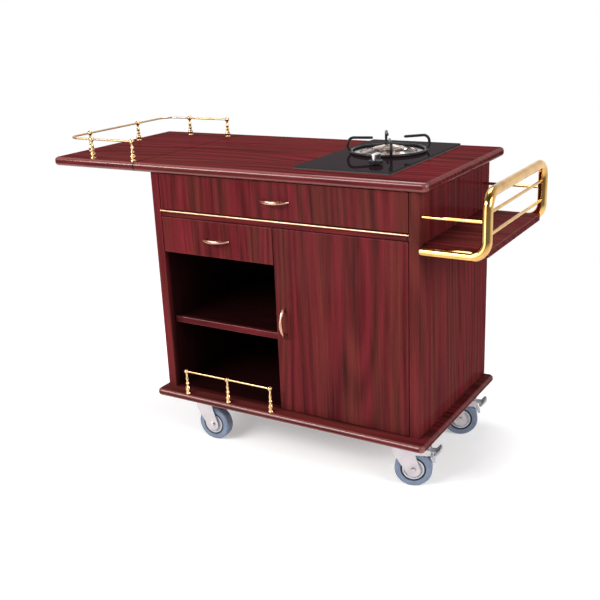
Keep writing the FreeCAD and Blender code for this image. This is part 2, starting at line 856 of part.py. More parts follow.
# Door
def build_door():
    """Cupboard door on two pivot pins near its right edge, with an upright bow handle."""
    x0 = divider_mid + reveal / 2
    x1 = inner_right - reveal
    z0 = base_top + reveal
    z1 = deck_under - reveal
    pivot_x = x1 - pivot_inset
    pivot_y = cab_front + pivot_inset
    panel = eased_front(x0, x1, z0, z1)
    pins = []
    for edge, out in ((z0, -1), (z1, 1)):
        inside = edge - out * pivot_in_door
        low, high = min(inside, edge), max(inside, edge)
        panel = panel.cut(rod(pivot_r + running_clear, pivot_x, pivot_y, low, high))
        board = edge + out * reveal
        tip = board + out * (pivot_in_board - seat_gap)
        root = inside + out * seat_gap
        pin = rod(pivot_r, pivot_x, pivot_y, min(root, tip), max(root, tip))
        rim = board - out * seat_gap
        collar = rod(pivot_collar_r, pivot_x, pivot_y, min(edge, rim), max(edge, rim))
        pins.append(fuse_all([pin, collar]))
    nodes["door_panel"] = panel
    nodes["door_pivot_pins"] = group(pins)
    upright = bow_handle()
    upright.rotate(Vector(0, 0, 0), Vector(0, 1, 0), 90)
    nodes["door_handle"] = upright.translated(Vector(x0 + door_handle_inset, cab_front,
                                                     base_top + door_handle_height))


# Hob
def build_hob():
    """Glass plate and the steel tray that hangs from it through the worktop."""
    glass = rounded_plate(hob_left, hob_left + hob_width, hob_front, hob_rear,
                          top_level, glass_top, glass_corner)
    glass = glass.makeChamfer(glass_bevel, edges_at(glass, lambda p: near(p.z, glass_top)))
    glass = glass.cut(rod(glass_hole_r, burner_x, burner_y, top_level, glass_top))
    nodes["hob_glass"] = glass.cut(rod(glass_tap_hole_r, tap_x, tap_y, top_level, glass_top))

    x0 = hob_left + tray_inset
    x1 = hob_left + hob_width - tray_inset
    y0 = tray_front
    y1 = tray_rear
    z0 = top_level - tray_height
    shell = rounded_plate(x0, x1, y0, y1, z0, top_level, tray_corner)
    hollow = rounded_plate(x0 + tray_wall, x1 - tray_wall, y0 + tray_wall, y1 - tray_wall,
                           tray_floor, top_level, tray_corner - tray_wall)
    pipe_z = tray_floor + pipe_height
    port = Part.makeCylinder(pipe_r + socket_clear, tray_inset,
                             Vector(tap_x + supply_pipe_offset, y1 - tray_inset, pipe_z), Vector(0, 1, 0))
    nodes["hob_tray"] = shell.cut(hollow).cut(port)


def build_burner():
    """Burner body on its stem, slotted cap, and the drip pan that sits round it."""
    seat = glass_top - drip_depth
    cone_foot = tray_floor + burner_stem_height
    cone_head = cone_foot + burner_bowl_rise
    mouth = glass_top + burner_neck_above
    bowl_floor = cone_head + burner_floor
    nodes["burner_base"] = turned([
        (0, tray_floor), (burner_stem_r, tray_floor), (burner_stem_r, cone_foot), (burner_bowl_r, cone_head),
        (burner_bowl_r, seat), (burner_neck_r, seat), (burner_neck_r, mouth), (burner_bore_r, mouth),
        (burner_bore_r, bowl_floor), (0, bowl_floor)], burner_x, burner_y)

    skirt_r = burner_bore_r - cap_skirt_clear
    skirt_wall = drip_sheet * 2
    rim = mouth + cap_edge
    crown = rim + cap_crown
    dome_r = (cap_r ** 2 + cap_crown ** 2) / (2 * cap_crown)
    arch = math.asin(cap_r / dome_r) / 2
    arch_mid = Vector(dome_r * math.sin(arch), 0, crown - dome_r + dome_r * math.cos(arch))
    cap_profile = [
        line(Vector(0, 0, mouth), Vector(skirt_r - skirt_wall, 0, mouth)),
        line(Vector(skirt_r - skirt_wall, 0, mouth), Vector(skirt_r - skirt_wall, 0, mouth - cap_skirt)),
        line(Vector(skirt_r - skirt_wall, 0, mouth - cap_skirt), Vector(skirt_r, 0, mouth - cap_skirt)),
        line(Vector(skirt_r, 0, mouth - cap_skirt), Vector(skirt_r, 0, mouth)),
        line(Vector(skirt_r, 0, mouth), Vector(cap_r, 0, mouth)),
        line(Vector(cap_r, 0, mouth), Vector(cap_r, 0, rim)),
        Part.Arc(Vector(cap_r, 0, rim), arch_mid, Vector(0, 0, crown)).toShape(),
        line(Vector(0, 0, crown), Vector(0, 0, mouth)),
    ]
    cap = revolved(cap_profile, 0, 0)
    slot = block(skirt_r + skirt_wall / 2, cap_r + 1, -cap_slot_width / 2, cap_slot_width / 2,
                 mouth + 1, mouth + 1 + cap_slot_height)
    cap = cap.cut(group(around(slot, cap_slots)))
    inner = Vector(cap_flute_from, 0, crown - dome_r + math.sqrt(dome_r ** 2 - cap_flute_from ** 2))
    run = Vector(cap_r, 0, rim) - inner
    start = inner + Vector(0, 0, cap_flute_above)
    flute = Part.makeCylinder(cap_flute_r, 2 * run.Length, start, run)
    flute = flute.fuse(Part.makeSphere(cap_flute_r, start))
    cap = cap.cut(group(around(flute, cap_flutes)))
    nodes["burner_cap"] = cap.translated(Vector(burner_x, burner_y, 0))

    rise = seat + drip_sheet
    lip = glass_top + drip_sheet
    wall_r = glass_hole_r - 2 * drip_sheet
    hole_r = burner_neck_r + seat_gap

    def p(r, z):
        return Vector(r, 0, z)

    dish = revolved([
        line(p(hole_r, seat), p(drip_floor_r, seat)),
        bowl_curve(p(drip_floor_r, seat), p(wall_r, glass_top)),
        line(p(wall_r, glass_top), p(drip_rim_r, glass_top)),
        line(p(drip_rim_r, glass_top), p(drip_rim_r, lip)),
        line(p(drip_rim_r, lip), p(wall_r - drip_sheet, lip)),
        bowl_curve(p(drip_floor_r - drip_sheet, rise), p(wall_r - drip_sheet, lip)),
        line(p(drip_floor_r - drip_sheet, rise), p(hole_r, rise)), line(p(hole_r, rise), p(hole_r, seat)),
    ], 0, 0)
    middle = (burner_bowl_r + drip_floor_r) / 2
    reach = (drip_floor_r - burner_bowl_r) / 4
    slot = block(middle - reach, middle + reach, -drip_slot_width / 2, drip_slot_width / 2, seat, rise)
    dish = dish.cut(group(around(slot, drip_slots)))
    nodes["drip_pan"] = dish.translated(Vector(burner_x, burner_y, 0))


def bowl_curve(foot, lip):
    """Quarter-ellipse edge that leaves the floor level and meets the lip upright."""
    turns = [math.radians(15 * n) for n in range(7)]
    curve = Part.BSplineCurve()
    curve.interpolate([Vector(foot.x + (lip.x - foot.x) * math.sin(a), 0,
                              foot.z + (lip.z - foot.z) * (1 - math.cos(a))) for a in turns])
    return curve.toShape()


def around(shape, count, start=0.0):
    """Copies of a shape spread evenly about the upright axis at the origin."""
    copies = []
    for n in range(count):
        copy = shape.copy()
        copy.rotate(Vector(0, 0, 0), Vector(0, 0, 1), start + 360.0 * n / count)
        copies.append(copy)
    return copies


def build_pan_support():
    """Wire ring lying on the glass, with bowed prongs that rise outside it and hook in over the burner."""
    low = glass_top + ring_wire_r
    high = low + prong_rise
    band = Part.makeTorus(ring_r, ring_wire_r, Vector(0, 0, low))
    tip = Vector(ring_r - prong_reach, 0, high - prong_droop)
    corners = [Vector(ring_r, 0, low), Vector(ring_r + prong_bow, 0, low + prong_bow_height),
               Vector(ring_r + prong_lean, 0, high), tip]
    prong = pipe(bent_path(corners, prong_bend), prong_r)
    end = Part.makeSphere(prong_r, tip)
    prongs = around(prong.fuse(end), prong_count, prong_turn)
    nodes["pan_support"] = fuse_all([band] + prongs).translated(Vector(burner_x, burner_y, 0))


# Gas tap and pipes
def build_tap():
    """Tap body, the plug that turns in it, and the push-in knob on its flatted spindle."""
    z0 = tray_floor
    z1 = z0 + tap_height
    bore_floor = z0 + tap_floor
    body = rod(tap_r, tap_x, tap_y, z0, z1)
    nodes["valve_body"] = body.cut(rod(plug_r + running_clear, tap_x, tap_y, bore_floor, z1))

    plug_z0 = bore_floor + seat_gap
    plug_z1 = z1 - plug_below_top
    slot_floor = plug_z0 + plug_floor
    socket = flatted_bar(spindle_r + running_clear, spindle_flat + running_clear, slot_floor, plug_z1)
    nodes["valve_plug"] = rod(plug_r, tap_x, tap_y, plug_z0, plug_z1).cut(socket)

    knob_z0 = glass_top + knob_lift
    spindle_z0 = slot_floor + knob_travel + seat_gap
    spindle_z1 = knob_z0 + spindle_in_knob
    spindle = flatted_bar(spindle_r, spindle_flat, spindle_z0, spindle_z1)
    skirt = rod(knob_skirt_r, tap_x, tap_y, knob_z0, knob_z0 + knob_skirt_h)
    skirt_top = knob_z0 + knob_skirt_h
    skirt = skirt.makeFillet(knob_skirt_round, edges_at(skirt, lambda p: near(p.z, skirt_top)))
    grip_top = skirt_top + knob_grip_h
    grip = block(tap_x - knob_grip_width / 2, tap_x + knob_grip_width / 2, tap_y - knob_grip_r,
                 tap_y + knob_grip_r, skirt_top - knob_skirt_round, grip_top)
    grip = grip.common(rod(knob_grip_r, tap_x, tap_y, knob_z0, grip_top))
    grip = grip.makeFillet(knob_grip_round, edges_at(grip, lambda p: near(p.z, grip_top)))
    knob = fuse_all([skirt, grip])
    knob = knob.cut(flatted_bar(spindle_r + running_clear, spindle_flat + running_clear, knob_z0,
                                spindle_z1 + running_clear))
    nodes["gas_knob"] = group([knob, spindle])


def flatted_bar(r, flat, z0, z1):
    """Upright bar at the tap with one flat on its +X side."""
    cutter = block(tap_x + flat, tap_x + 2 * r, tap_y - 2 * r, tap_y + 2 * r, z0, z1)
    return rod(r, tap_x, tap_y, z0, z1).cut(cutter)


def build_pipes():
    """Pipe from the tap to the burner, supply pipe to the tray's rear wall, and the inlet elbow there."""
    z = tray_floor + pipe_height
    y_rear = tray_rear
    feed = bent_path([Vector(tap_x, tap_y, z), Vector(tap_x, burner_y, z), Vector(burner_x, burner_y, z)],
                     pipe_bend)
    supply_x = tap_x + supply_pipe_offset
    supply = bent_path([Vector(supply_x, y_rear, z), Vector(supply_x, tap_y, z), Vector(tap_x, tap_y, z)],
                       pipe_bend)
    ends = group([rod(tap_r + socket_clear, tap_x, tap_y, tray_floor, glass_top),
                  rod(burner_stem_r + socket_clear, burner_x, burner_y, tray_floor, glass_top)])
    pipes = [pipe(path, pipe_r).cut(ends).Solids[0] for path in (feed, supply)]
    down = Vector(0, 0, -1)
    nut = hex_prism(inlet_nut_r, inlet_nut_length, Vector(supply_x, y_rear, z))
    knee = Vector(supply_x, hose_y, z)
    seat = knee + down * inlet_drop
    elbow = pipe(bent_path([Vector(supply_x, y_rear, z), knee, seat], inlet_bend), pipe_r)
    collar = Part.makeCylinder(inlet_collar_r, inlet_collar_length, seat + down * -1.0, down)
    stub_top = seat + down * (inlet_collar_length - 1.0)
    stub = Part.makeCylinder(inlet_stub_r, inlet_stub_length, stub_top, down)
    nodes["gas_pipes"] = group(pipes + [fuse_all([nut, elbow, collar, stub])])


# Casters
def caster_places():
    """Swivel axis of each caster."""
    return {
        "front_left": (cab_left + caster_left, cab_front + caster_front),
        "front_right": (cab_right - caster_right, cab_front + caster_front),
        "rear_left": (cab_left + caster_left, cab_rear - caster_rear),
        "rear_right": (cab_right - caster_right, cab_rear - caster_rear),
    }


caster_turns = {"front_left": 2.0, "front_right": 20.0, "rear_left": 8.0, "rear_right": 22.0}
braked = ("front_right", "rear_right")


def screw_places():
    """Screw holes of a caster plate about its swivel axis."""
    x, y = plate_hole_x / 2, plate_hole_y / 2
    return [(-x, -y), (x, -y), (x, y), (-x, y)]


def caster_plate():
    """Top plate with its race cup and riveted king pin, about the origin."""
    z0 = caster_height - plate_sheet
    plate = rounded_plate(-plate_length / 2, plate_length / 2, -plate_width / 2, plate_width / 2,
                          z0, caster_height, plate_corner)
    for x, y in screw_places():
        plate = plate.cut(rod(screw_r + running_clear, x, y, z0, caster_height))
    race_z = z0 - race_h
    race = Part.makeCone(race_r - 3.0, race_r, race_h, Vector(0, 0, race_z))
    head_z = fork_top() - fork_sheet - seat_gap
    pin = rod(king_pin_r, 0, 0, head_z - king_head_h, race_z + 1.0)
    head = rod(king_head_r, 0, 0, head_z - king_head_h, head_z)
    return fuse_all([plate, race, pin, head])


def fork_top():
    """Height of the fork crown's upper face, just under the race."""
    return caster_height - plate_sheet - race_h - seat_gap


def tangent_point(p, centre, r, side):
    """Where a line from p touches a circle in the XZ plane, on the chosen side."""
    d = centre - p
    reach = math.acos(r / d.Length)
    base = math.atan2(p.z - centre.z, p.x - centre.x)
    angle = base + side * reach
    return Vector(centre.x + r * math.cos(angle), 0, centre.z + r * math.sin(angle))


def fork_side(with_brake):
    """Outline face of one fork leg, a broad web under the crown drawn in to a round foot at the axle."""
    top = fork_top()
    axle = Vector(caster_trail, 0, wheel_r)
    left = Vector(-fork_half, 0, top - fork_web)
    right = Vector(fork_half, 0, top - fork_skirt)
    a = tangent_point(right, axle, fork_foot_r, -1)
    b = tangent_point(left, axle, fork_foot_r, 1)
    low = axle - Vector(0, 0, fork_foot_r)
    crown = Vector(-fork_half, 0, top)
    edges = [line(crown, Vector(fork_half, 0, top)), line(Vector(fork_half, 0, top), right), line(right, a),
             Part.Arc(a, low, b).toShape()]
    edges += bent_path([b, left, crown], fork_corner).Edges
    side = Part.Face(Part.Wire(edges))
    if not with_brake:
        return [side]
    pivot = pedal_pivot()
    arm_foot = top - pedal_ear_depth
    ear = [Vector(0, 0, top), pivot + Vector(0, 0, pedal_ear_r), pivot - Vector(0, 0, pedal_ear_r),
           Vector(fork_half, 0, arm_foot - pedal_ear_r), Vector(0, 0, arm_foot)]
    return [side, polygon(ear)]


def pedal_pivot():
    """Pivot of the brake pedal, behind and above the wheel."""
    reach = wheel_r + pedal_pivot_gap
    turn = math.radians(pedal_pivot_angle)
    return Vector(caster_trail + reach * math.cos(turn), 0, wheel_r + reach * math.sin(turn))


def caster_fork(with_brake):
    """Pressed fork, its axle bolt and, on a braked caster, the pedal's pin, about the origin."""
    outer = fork_inner + fork_leg
    top = fork_top()
    pieces = [rounded_plate(-fork_half, fork_half, -outer, outer, top - fork_sheet, top, fork_bend)]
    pivot = pedal_pivot()
    for y0 in (-outer, fork_inner):
        for face in fork_side(with_brake):
            pieces.append(face.translated(Vector(0, y0, 0)).extrude(Vector(0, fork_leg, 0)))
        if with_brake:
            at = Vector(pivot.x, y0, pivot.z)
            pieces.append(Part.makeCylinder(pedal_ear_r, fork_leg, at, Vector(0, 1, 0)))
    fork = fuse_all(pieces)
    fork = fork.cut(rod(king_pin_r + running_clear, 0, 0, top - fork_sheet, top))
    hole = Vector(caster_trail, -outer, wheel_r)
    across = Vector(0, 1, 0)
    fork = fork.cut(Part.makeCylinder(axle_r + running_clear, 2 * outer, hole, across))
    shank = Part.makeCylinder(axle_r, 2 * outer, hole, across)
    head = hex_prism(axle_head_r, axle_head, Vector(caster_trail, -outer - axle_head, wheel_r))
    nut = hex_prism(axle_head_r, axle_head, Vector(caster_trail, outer, wheel_r))
    solids = [fork, fuse_all([shank, head, nut])]
    if with_brake:
        at = Vector(pivot.x, -outer, pivot.z)
        solids[0] = fork.cut(Part.makeCylinder(pedal_pin_r + running_clear, 2 * outer, at, across))
        solids.append(Part.makeCylinder(pedal_pin_r, 2 * outer, at, across))
    return group(solids)


def hex_prism(r, length, at):
    """Hexagonal bolt head or nut along Y."""
    turns = [math.radians(60 * n) for n in range(6)]
    corners = [Vector(r * math.cos(a), 0, r * math.sin(a)) for a in turns]
    return polygon(corners).translated(at).extrude(Vector(0, length, 0))


def wheel_solid(outline):
    """Solid of revolution about the wheel's axle from (radius, side) edges."""
    face = Part.Face(Part.Wire(outline))
    whole = face.revolve(Vector(0, 0, 0), Vector(0, 1, 0), 360)
    return whole.translated(Vector(caster_trail, 0, wheel_r))


def tyre():
    """Rubber tyre with rounded tread shoulders."""
    half = wheel_width / 2
    inner = hub_r + bond_gap
    shoulder = wheel_r - tread_round
    bulge = tread_round * math.sqrt(0.5)

    def p(r, y):
        return Vector(r, y, 0)

    edges = [line(p(inner, -half), p(shoulder, -half)),
             Part.Arc(p(shoulder, -half), p(shoulder + bulge, -half + tread_round - bulge),
                      p(wheel_r, -half + tread_round)).toShape(),
             line(p(wheel_r, -half + tread_round), p(wheel_r, half - tread_round)),
             Part.Arc(p(wheel_r, half - tread_round), p(shoulder + bulge, half - tread_round + bulge),
                      p(shoulder, half)).toShape(),
             line(p(shoulder, half), p(inner, half)), line(p(inner, half), p(inner, -half))]
    return wheel_solid(edges)


def hub():
    """Moulded hub with a rim, a thin web and a boss that runs on the axle."""
    half = wheel_width / 2
    boss = fork_inner - hub_side_play
    web = hub_web / 2
    bore = axle_r + running_clear
    rim = hub_r - hub_rim
    points = [(bore, -boss), (hub_boss_r, -boss), (hub_boss_r, -web), (rim, -web), (rim, -half),
              (hub_r, -half), (hub_r, half), (rim, half), (rim, web), (hub_boss_r, web),
              (hub_boss_r, boss), (bore, boss)]
    corners = [Vector(r, y, 0) for r, y in points]
    return wheel_solid([line(a, b) for a, b in zip(corners, corners[1:] + corners[:1])])


def brake_pedal():
    """Foot pedal on its pin, with a tilted pad outside and a curved shoe above the tyre."""
    pivot = pedal_pivot()
    across = Vector(0, 1, 0)
    tube = Part.makeCylinder(pedal_hub_r, 2 * pedal_half_width, pivot - across * pedal_half_width, across)
    pad_foot = pivot + Vector(pad_foot_out, 0, -pad_foot_drop)
    tilt = math.radians(pad_tilt)
    along = Vector(math.cos(tilt), 0, math.sin(tilt))
    up = Vector(-math.sin(tilt), 0, math.cos(tilt))
    pad_head = pad_foot + along * pad_length
    pad = polygon([pad_foot, pad_head, pad_head + up * pad_thick, pad_foot + up * pad_thick])
    pad = pad.translated(-across * pad_half_width).extrude(across * (2 * pad_half_width))
    pad = pad.makeFillet(pad_corner, [e for e in pad.Edges if near(abs(e.tangentAt(0).dot(up)), 1.0)])
    pad = pad.makeFillet(pad_round, [e for e in pad.Edges if not near(abs(e.tangentAt(0).dot(up)), 1.0)])
    joint = pad_foot + along * pad_join + up * (pad_thick / 2)
    run = (joint - pivot).normalize()
    side = Vector(-run.z, 0, run.x) * (pedal_arm / 2)
    arm = polygon([pivot + side, joint + side, joint - side, pivot - side])
    arm = arm.translated(-across * shoe_half_width).extrude(across * (2 * shoe_half_width))
    shoe = brake_shoe()
    bore = Part.makeCylinder(pedal_pin_r + running_clear, 4 * pedal_half_width,
                             pivot - across * (2 * pedal_half_width), across)
    return fuse_all([tube, arm, pad] + shoe).cut(bore)


def brake_shoe():
    """Shoe concentric with the tyre at rest, and the web that ties it to the pedal's tube."""
    axle = Vector(caster_trail, 0, wheel_r)
    across = Vector(0, 1, 0)
    r0 = wheel_r + shoe_gap
    r1 = r0 + shoe_thick

    def p(r, degrees):
        a = math.radians(degrees)
        return axle + Vector(r * math.cos(a), 0, r * math.sin(a))

    middle = (shoe_from + shoe_to) / 2
    edges = [Part.Arc(p(r0, shoe_from), p(r0, middle), p(r0, shoe_to)).toShape(),
             line(p(r0, shoe_to), p(r1, shoe_to)),
             Part.Arc(p(r1, shoe_to), p(r1, middle), p(r1, shoe_from)).toShape(),
             line(p(r1, shoe_from), p(r0, shoe_from))]
    start = -across * shoe_half_width
    shoe = Part.Face(Part.Wire(edges)).translated(start).extrude(across * (2 * shoe_half_width))
    pivot = pedal_pivot()
    web = polygon([pivot + Vector(-pedal_arm / 2, 0, 0), pivot + Vector(pedal_arm / 2, 0, 0),
                   p(r1 - 1.0, middle - 4.0), p(r1 - 1.0, shoe_to)])
    return [shoe, web.translated(start).extrude(across * (2 * shoe_half_width))]


def caster_screw():
    """Pan-head wood screw under a caster plate, about the origin."""
    z0 = caster_height - plate_sheet
    shank = rod(screw_r, 0, 0, z0 - 0.5, caster_height + screw_length - 1.0)
    head = Part.makeCone(screw_crown_r, screw_head_r, screw_head_h, Vector(0, 0, z0 - screw_head_h))
    return fuse_all([shank, head])


def build_casters():
    """Four swivel casters, each turned to its rest direction, with brakes on the right pair."""
    plates, screws = [], []
    for name, (x, y) in caster_places().items():
        place = Vector(x, y, 0)
        plates.append(caster_plate().translated(place))
        screws += [caster_screw().translated(place + Vector(dx, dy, 0)) for dx, dy in screw_places()]
        pieces = {"fork": caster_fork(name in braked), "tyre": tyre(), "hub": hub()}
        if name in braked:
            pieces["brake_pedal"] = brake_pedal()
        for piece, shape in pieces.items():
            shape.rotate(Vector(0, 0, 0), Vector(0, 0, 1), caster_turns[name])
            nodes[name + "_" + piece] = shape.translated(place)
    nodes["caster_plates"] = group(plates)
    nodes["caster_screws"] = group(screws)


build_carcass()
build_tops()
build_leaf_hinges()
build_stays()
build_galleries()
build_side_shelf()
build_drawers()
build_door()
build_hob()
build_burner()
build_pan_support()
build_tap()
build_pipes()
build_casters()

os.makedirs("parts", exist_ok=True)
for node, shape in nodes.items():
    shape.exportStep("parts/" + node + ".step")
print(len(nodes), "nodes")
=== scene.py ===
import logging
import math
from abc import ABC, abstractmethod
from dataclasses import dataclass, field
from enum import Enum
from functools import cache
from typing import Sequence

import bmesh
import bpy
from mathutils import Matrix, Vector


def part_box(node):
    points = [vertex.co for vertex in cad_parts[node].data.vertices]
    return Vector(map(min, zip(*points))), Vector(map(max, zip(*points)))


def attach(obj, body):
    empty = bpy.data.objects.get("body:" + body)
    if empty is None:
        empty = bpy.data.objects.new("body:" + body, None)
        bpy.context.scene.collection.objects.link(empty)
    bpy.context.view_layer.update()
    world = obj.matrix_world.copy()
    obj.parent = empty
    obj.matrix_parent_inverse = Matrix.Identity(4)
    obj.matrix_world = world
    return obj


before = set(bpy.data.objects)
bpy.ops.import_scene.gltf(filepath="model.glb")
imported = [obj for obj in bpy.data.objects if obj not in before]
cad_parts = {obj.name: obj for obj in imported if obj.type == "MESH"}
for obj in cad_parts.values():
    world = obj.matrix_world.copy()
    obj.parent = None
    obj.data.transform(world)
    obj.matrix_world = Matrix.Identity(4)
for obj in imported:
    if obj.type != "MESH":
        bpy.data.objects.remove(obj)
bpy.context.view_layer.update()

LOG = logging.getLogger("flambe_trolley")
Point = tuple[float, float, float]
Colour = tuple[float, float, float]
Span = tuple[float, float]
Profile = tuple[Span, ...]
Stops = tuple[tuple[float, Colour], ...]
Socket = bpy.types.NodeSocket
ORIGIN: Point = (0.0, 0.0, 0.0)
UP: Point = (0.0, 0.0, 1.0)
DOWN: Point = (0.0, 0.0, -1.0)
BACK: Point = (0.0, 1.0, 0.0)
WHITE = (1.0, 1.0, 1.0, 1.0)


class GrainAxis(Enum):
    """Axis of the row frame that the wood grain runs along."""

    ALONG = 0
    UPRIGHT = 2


class Ray(Enum):
    """Kind of ray that sees the pale backdrop itself, not only its light."""

    CAMERA = "Is Camera Ray"
    MIRROR = "Is Glossy Ray"
    CLEAR = "Is Transmission Ray"


class MixSocket(Enum):
    """Places of the Mix node's colour sockets."""

    FIRST = 6
    SECOND = 7
    RESULT = 2


class Nodes:
    """Node tree of a material or the world, with short ways to add and join nodes."""

    def __init__(self, tree: bpy.types.NodeTree) -> None:
        """Empty the tree.

        Args:
            tree: Tree to fill.
        """
        self.tree: bpy.types.NodeTree = tree
        tree.nodes.clear()

    def add(self, kind: str) -> bpy.types.Node:
        """Add a shader node of the named kind."""
        return self.tree.nodes.new("ShaderNode" + kind)

    def join(self, source: Socket, target: Socket) -> None:
        """Link two sockets."""
        self.tree.links.new(source, target)

    def give(self, value: Socket | float | Sequence[float], target: Socket) -> None:
        """Link a value to a socket, or write it there.

        Args:
            value: Socket to link, or plain value to write.
            target: Socket that takes it.
        """
        if isinstance(value, bpy.types.NodeSocket):
            self.join(value, target)
        else:
            target.default_value = value

    def maths(self, operation: str, a: Socket, b: Socket | float = 0.0) -> Socket:
        """Maths on one or two values.

        Args:
            operation: Name of the operation.
            a: First value.
            b: Second value, where the operation has one.

        Returns:
            The result socket.
        """
        node = self.add("Math")
        node.operation = operation
        self.join(a, node.inputs[0])
        self.give(b, node.inputs[1])
        return node.outputs[0]

    def plus(self, a: Socket, b: Socket | float) -> Socket:
        """Sum of two values."""
        return self.maths("ADD", a, b)

    def minus(self, a: Socket, b: Socket | float) -> Socket:
        """Difference of two values."""
        return self.maths("SUBTRACT", a, b)

    def times(self, a: Socket, b: Socket | float) -> Socket:
        """Product of two values."""
        return self.maths("MULTIPLY", a, b)

    def wave(self, value: Socket, rate: float) -> Socket:
        """Sine of a value, at so many radians for each unit of it."""
        return self.maths("SINE", self.times(value, rate))

    def vectors(self, operation: str, a: Socket, b: Socket | Point = ORIGIN) -> bpy.types.Node:
        """Maths on one or two vectors.

        Args:
            operation: Name of the operation.
            a: First vector.
            b: Second vector, where the operation has one.

        Returns:
            The node, with its result at Vector or Value.
        """
        node = self.add("VectorMath")
        node.operation = operation
        self.join(a, node.inputs[0])
        self.give(b, node.inputs[1])
        return node

    def spread(self, value: Socket, low: float, high: float, start: float = 0.0, end: float = 1.0) -> Socket:
        """Map a value from start..end to low..high, and hold it there.

        Args:
            value: Value to map.
            low: Result at start.
            high: Result at end.
            start: Lower value.
            end: Upper value.

        Returns:
            The mapped socket.
        """
        node = self.add("MapRange")
        for name, number in zip(("From Min", "From Max", "To Min", "To Max"), (start, end, low, high)):
            node.inputs[name].default_value = number
        self.join(value, node.inputs["Value"])
        return node.outputs["Result"]

    def where(self, kind: str) -> Socket:
        """Texture coordinate of the named kind."""
        return self.add("TexCoord").outputs[kind]

    def split(self, vector: Socket) -> tuple[Socket, Socket, Socket]:
        """Part a vector into its three values.

        Args:
            vector: Vector to part.

        Returns:
            The sockets of x, y and z.
        """
        node = self.add("SeparateXYZ")
        self.join(vector, node.inputs["Vector"])
        return node.outputs["X"], node.outputs["Y"], node.outputs["Z"]

    def rays(self, *kinds: Ray) -> Socket:
        """Mask of rays of any of the kinds.

        Args:
            kinds: Kinds of ray.

        Returns:
            The mask socket.
        """
        path = self.add("LightPath")
        mask = path.outputs[kinds[0].value]
        for kind in kinds[1:]:
            mask = self.maths("MAXIMUM", mask, path.outputs[kind.value])
        return mask


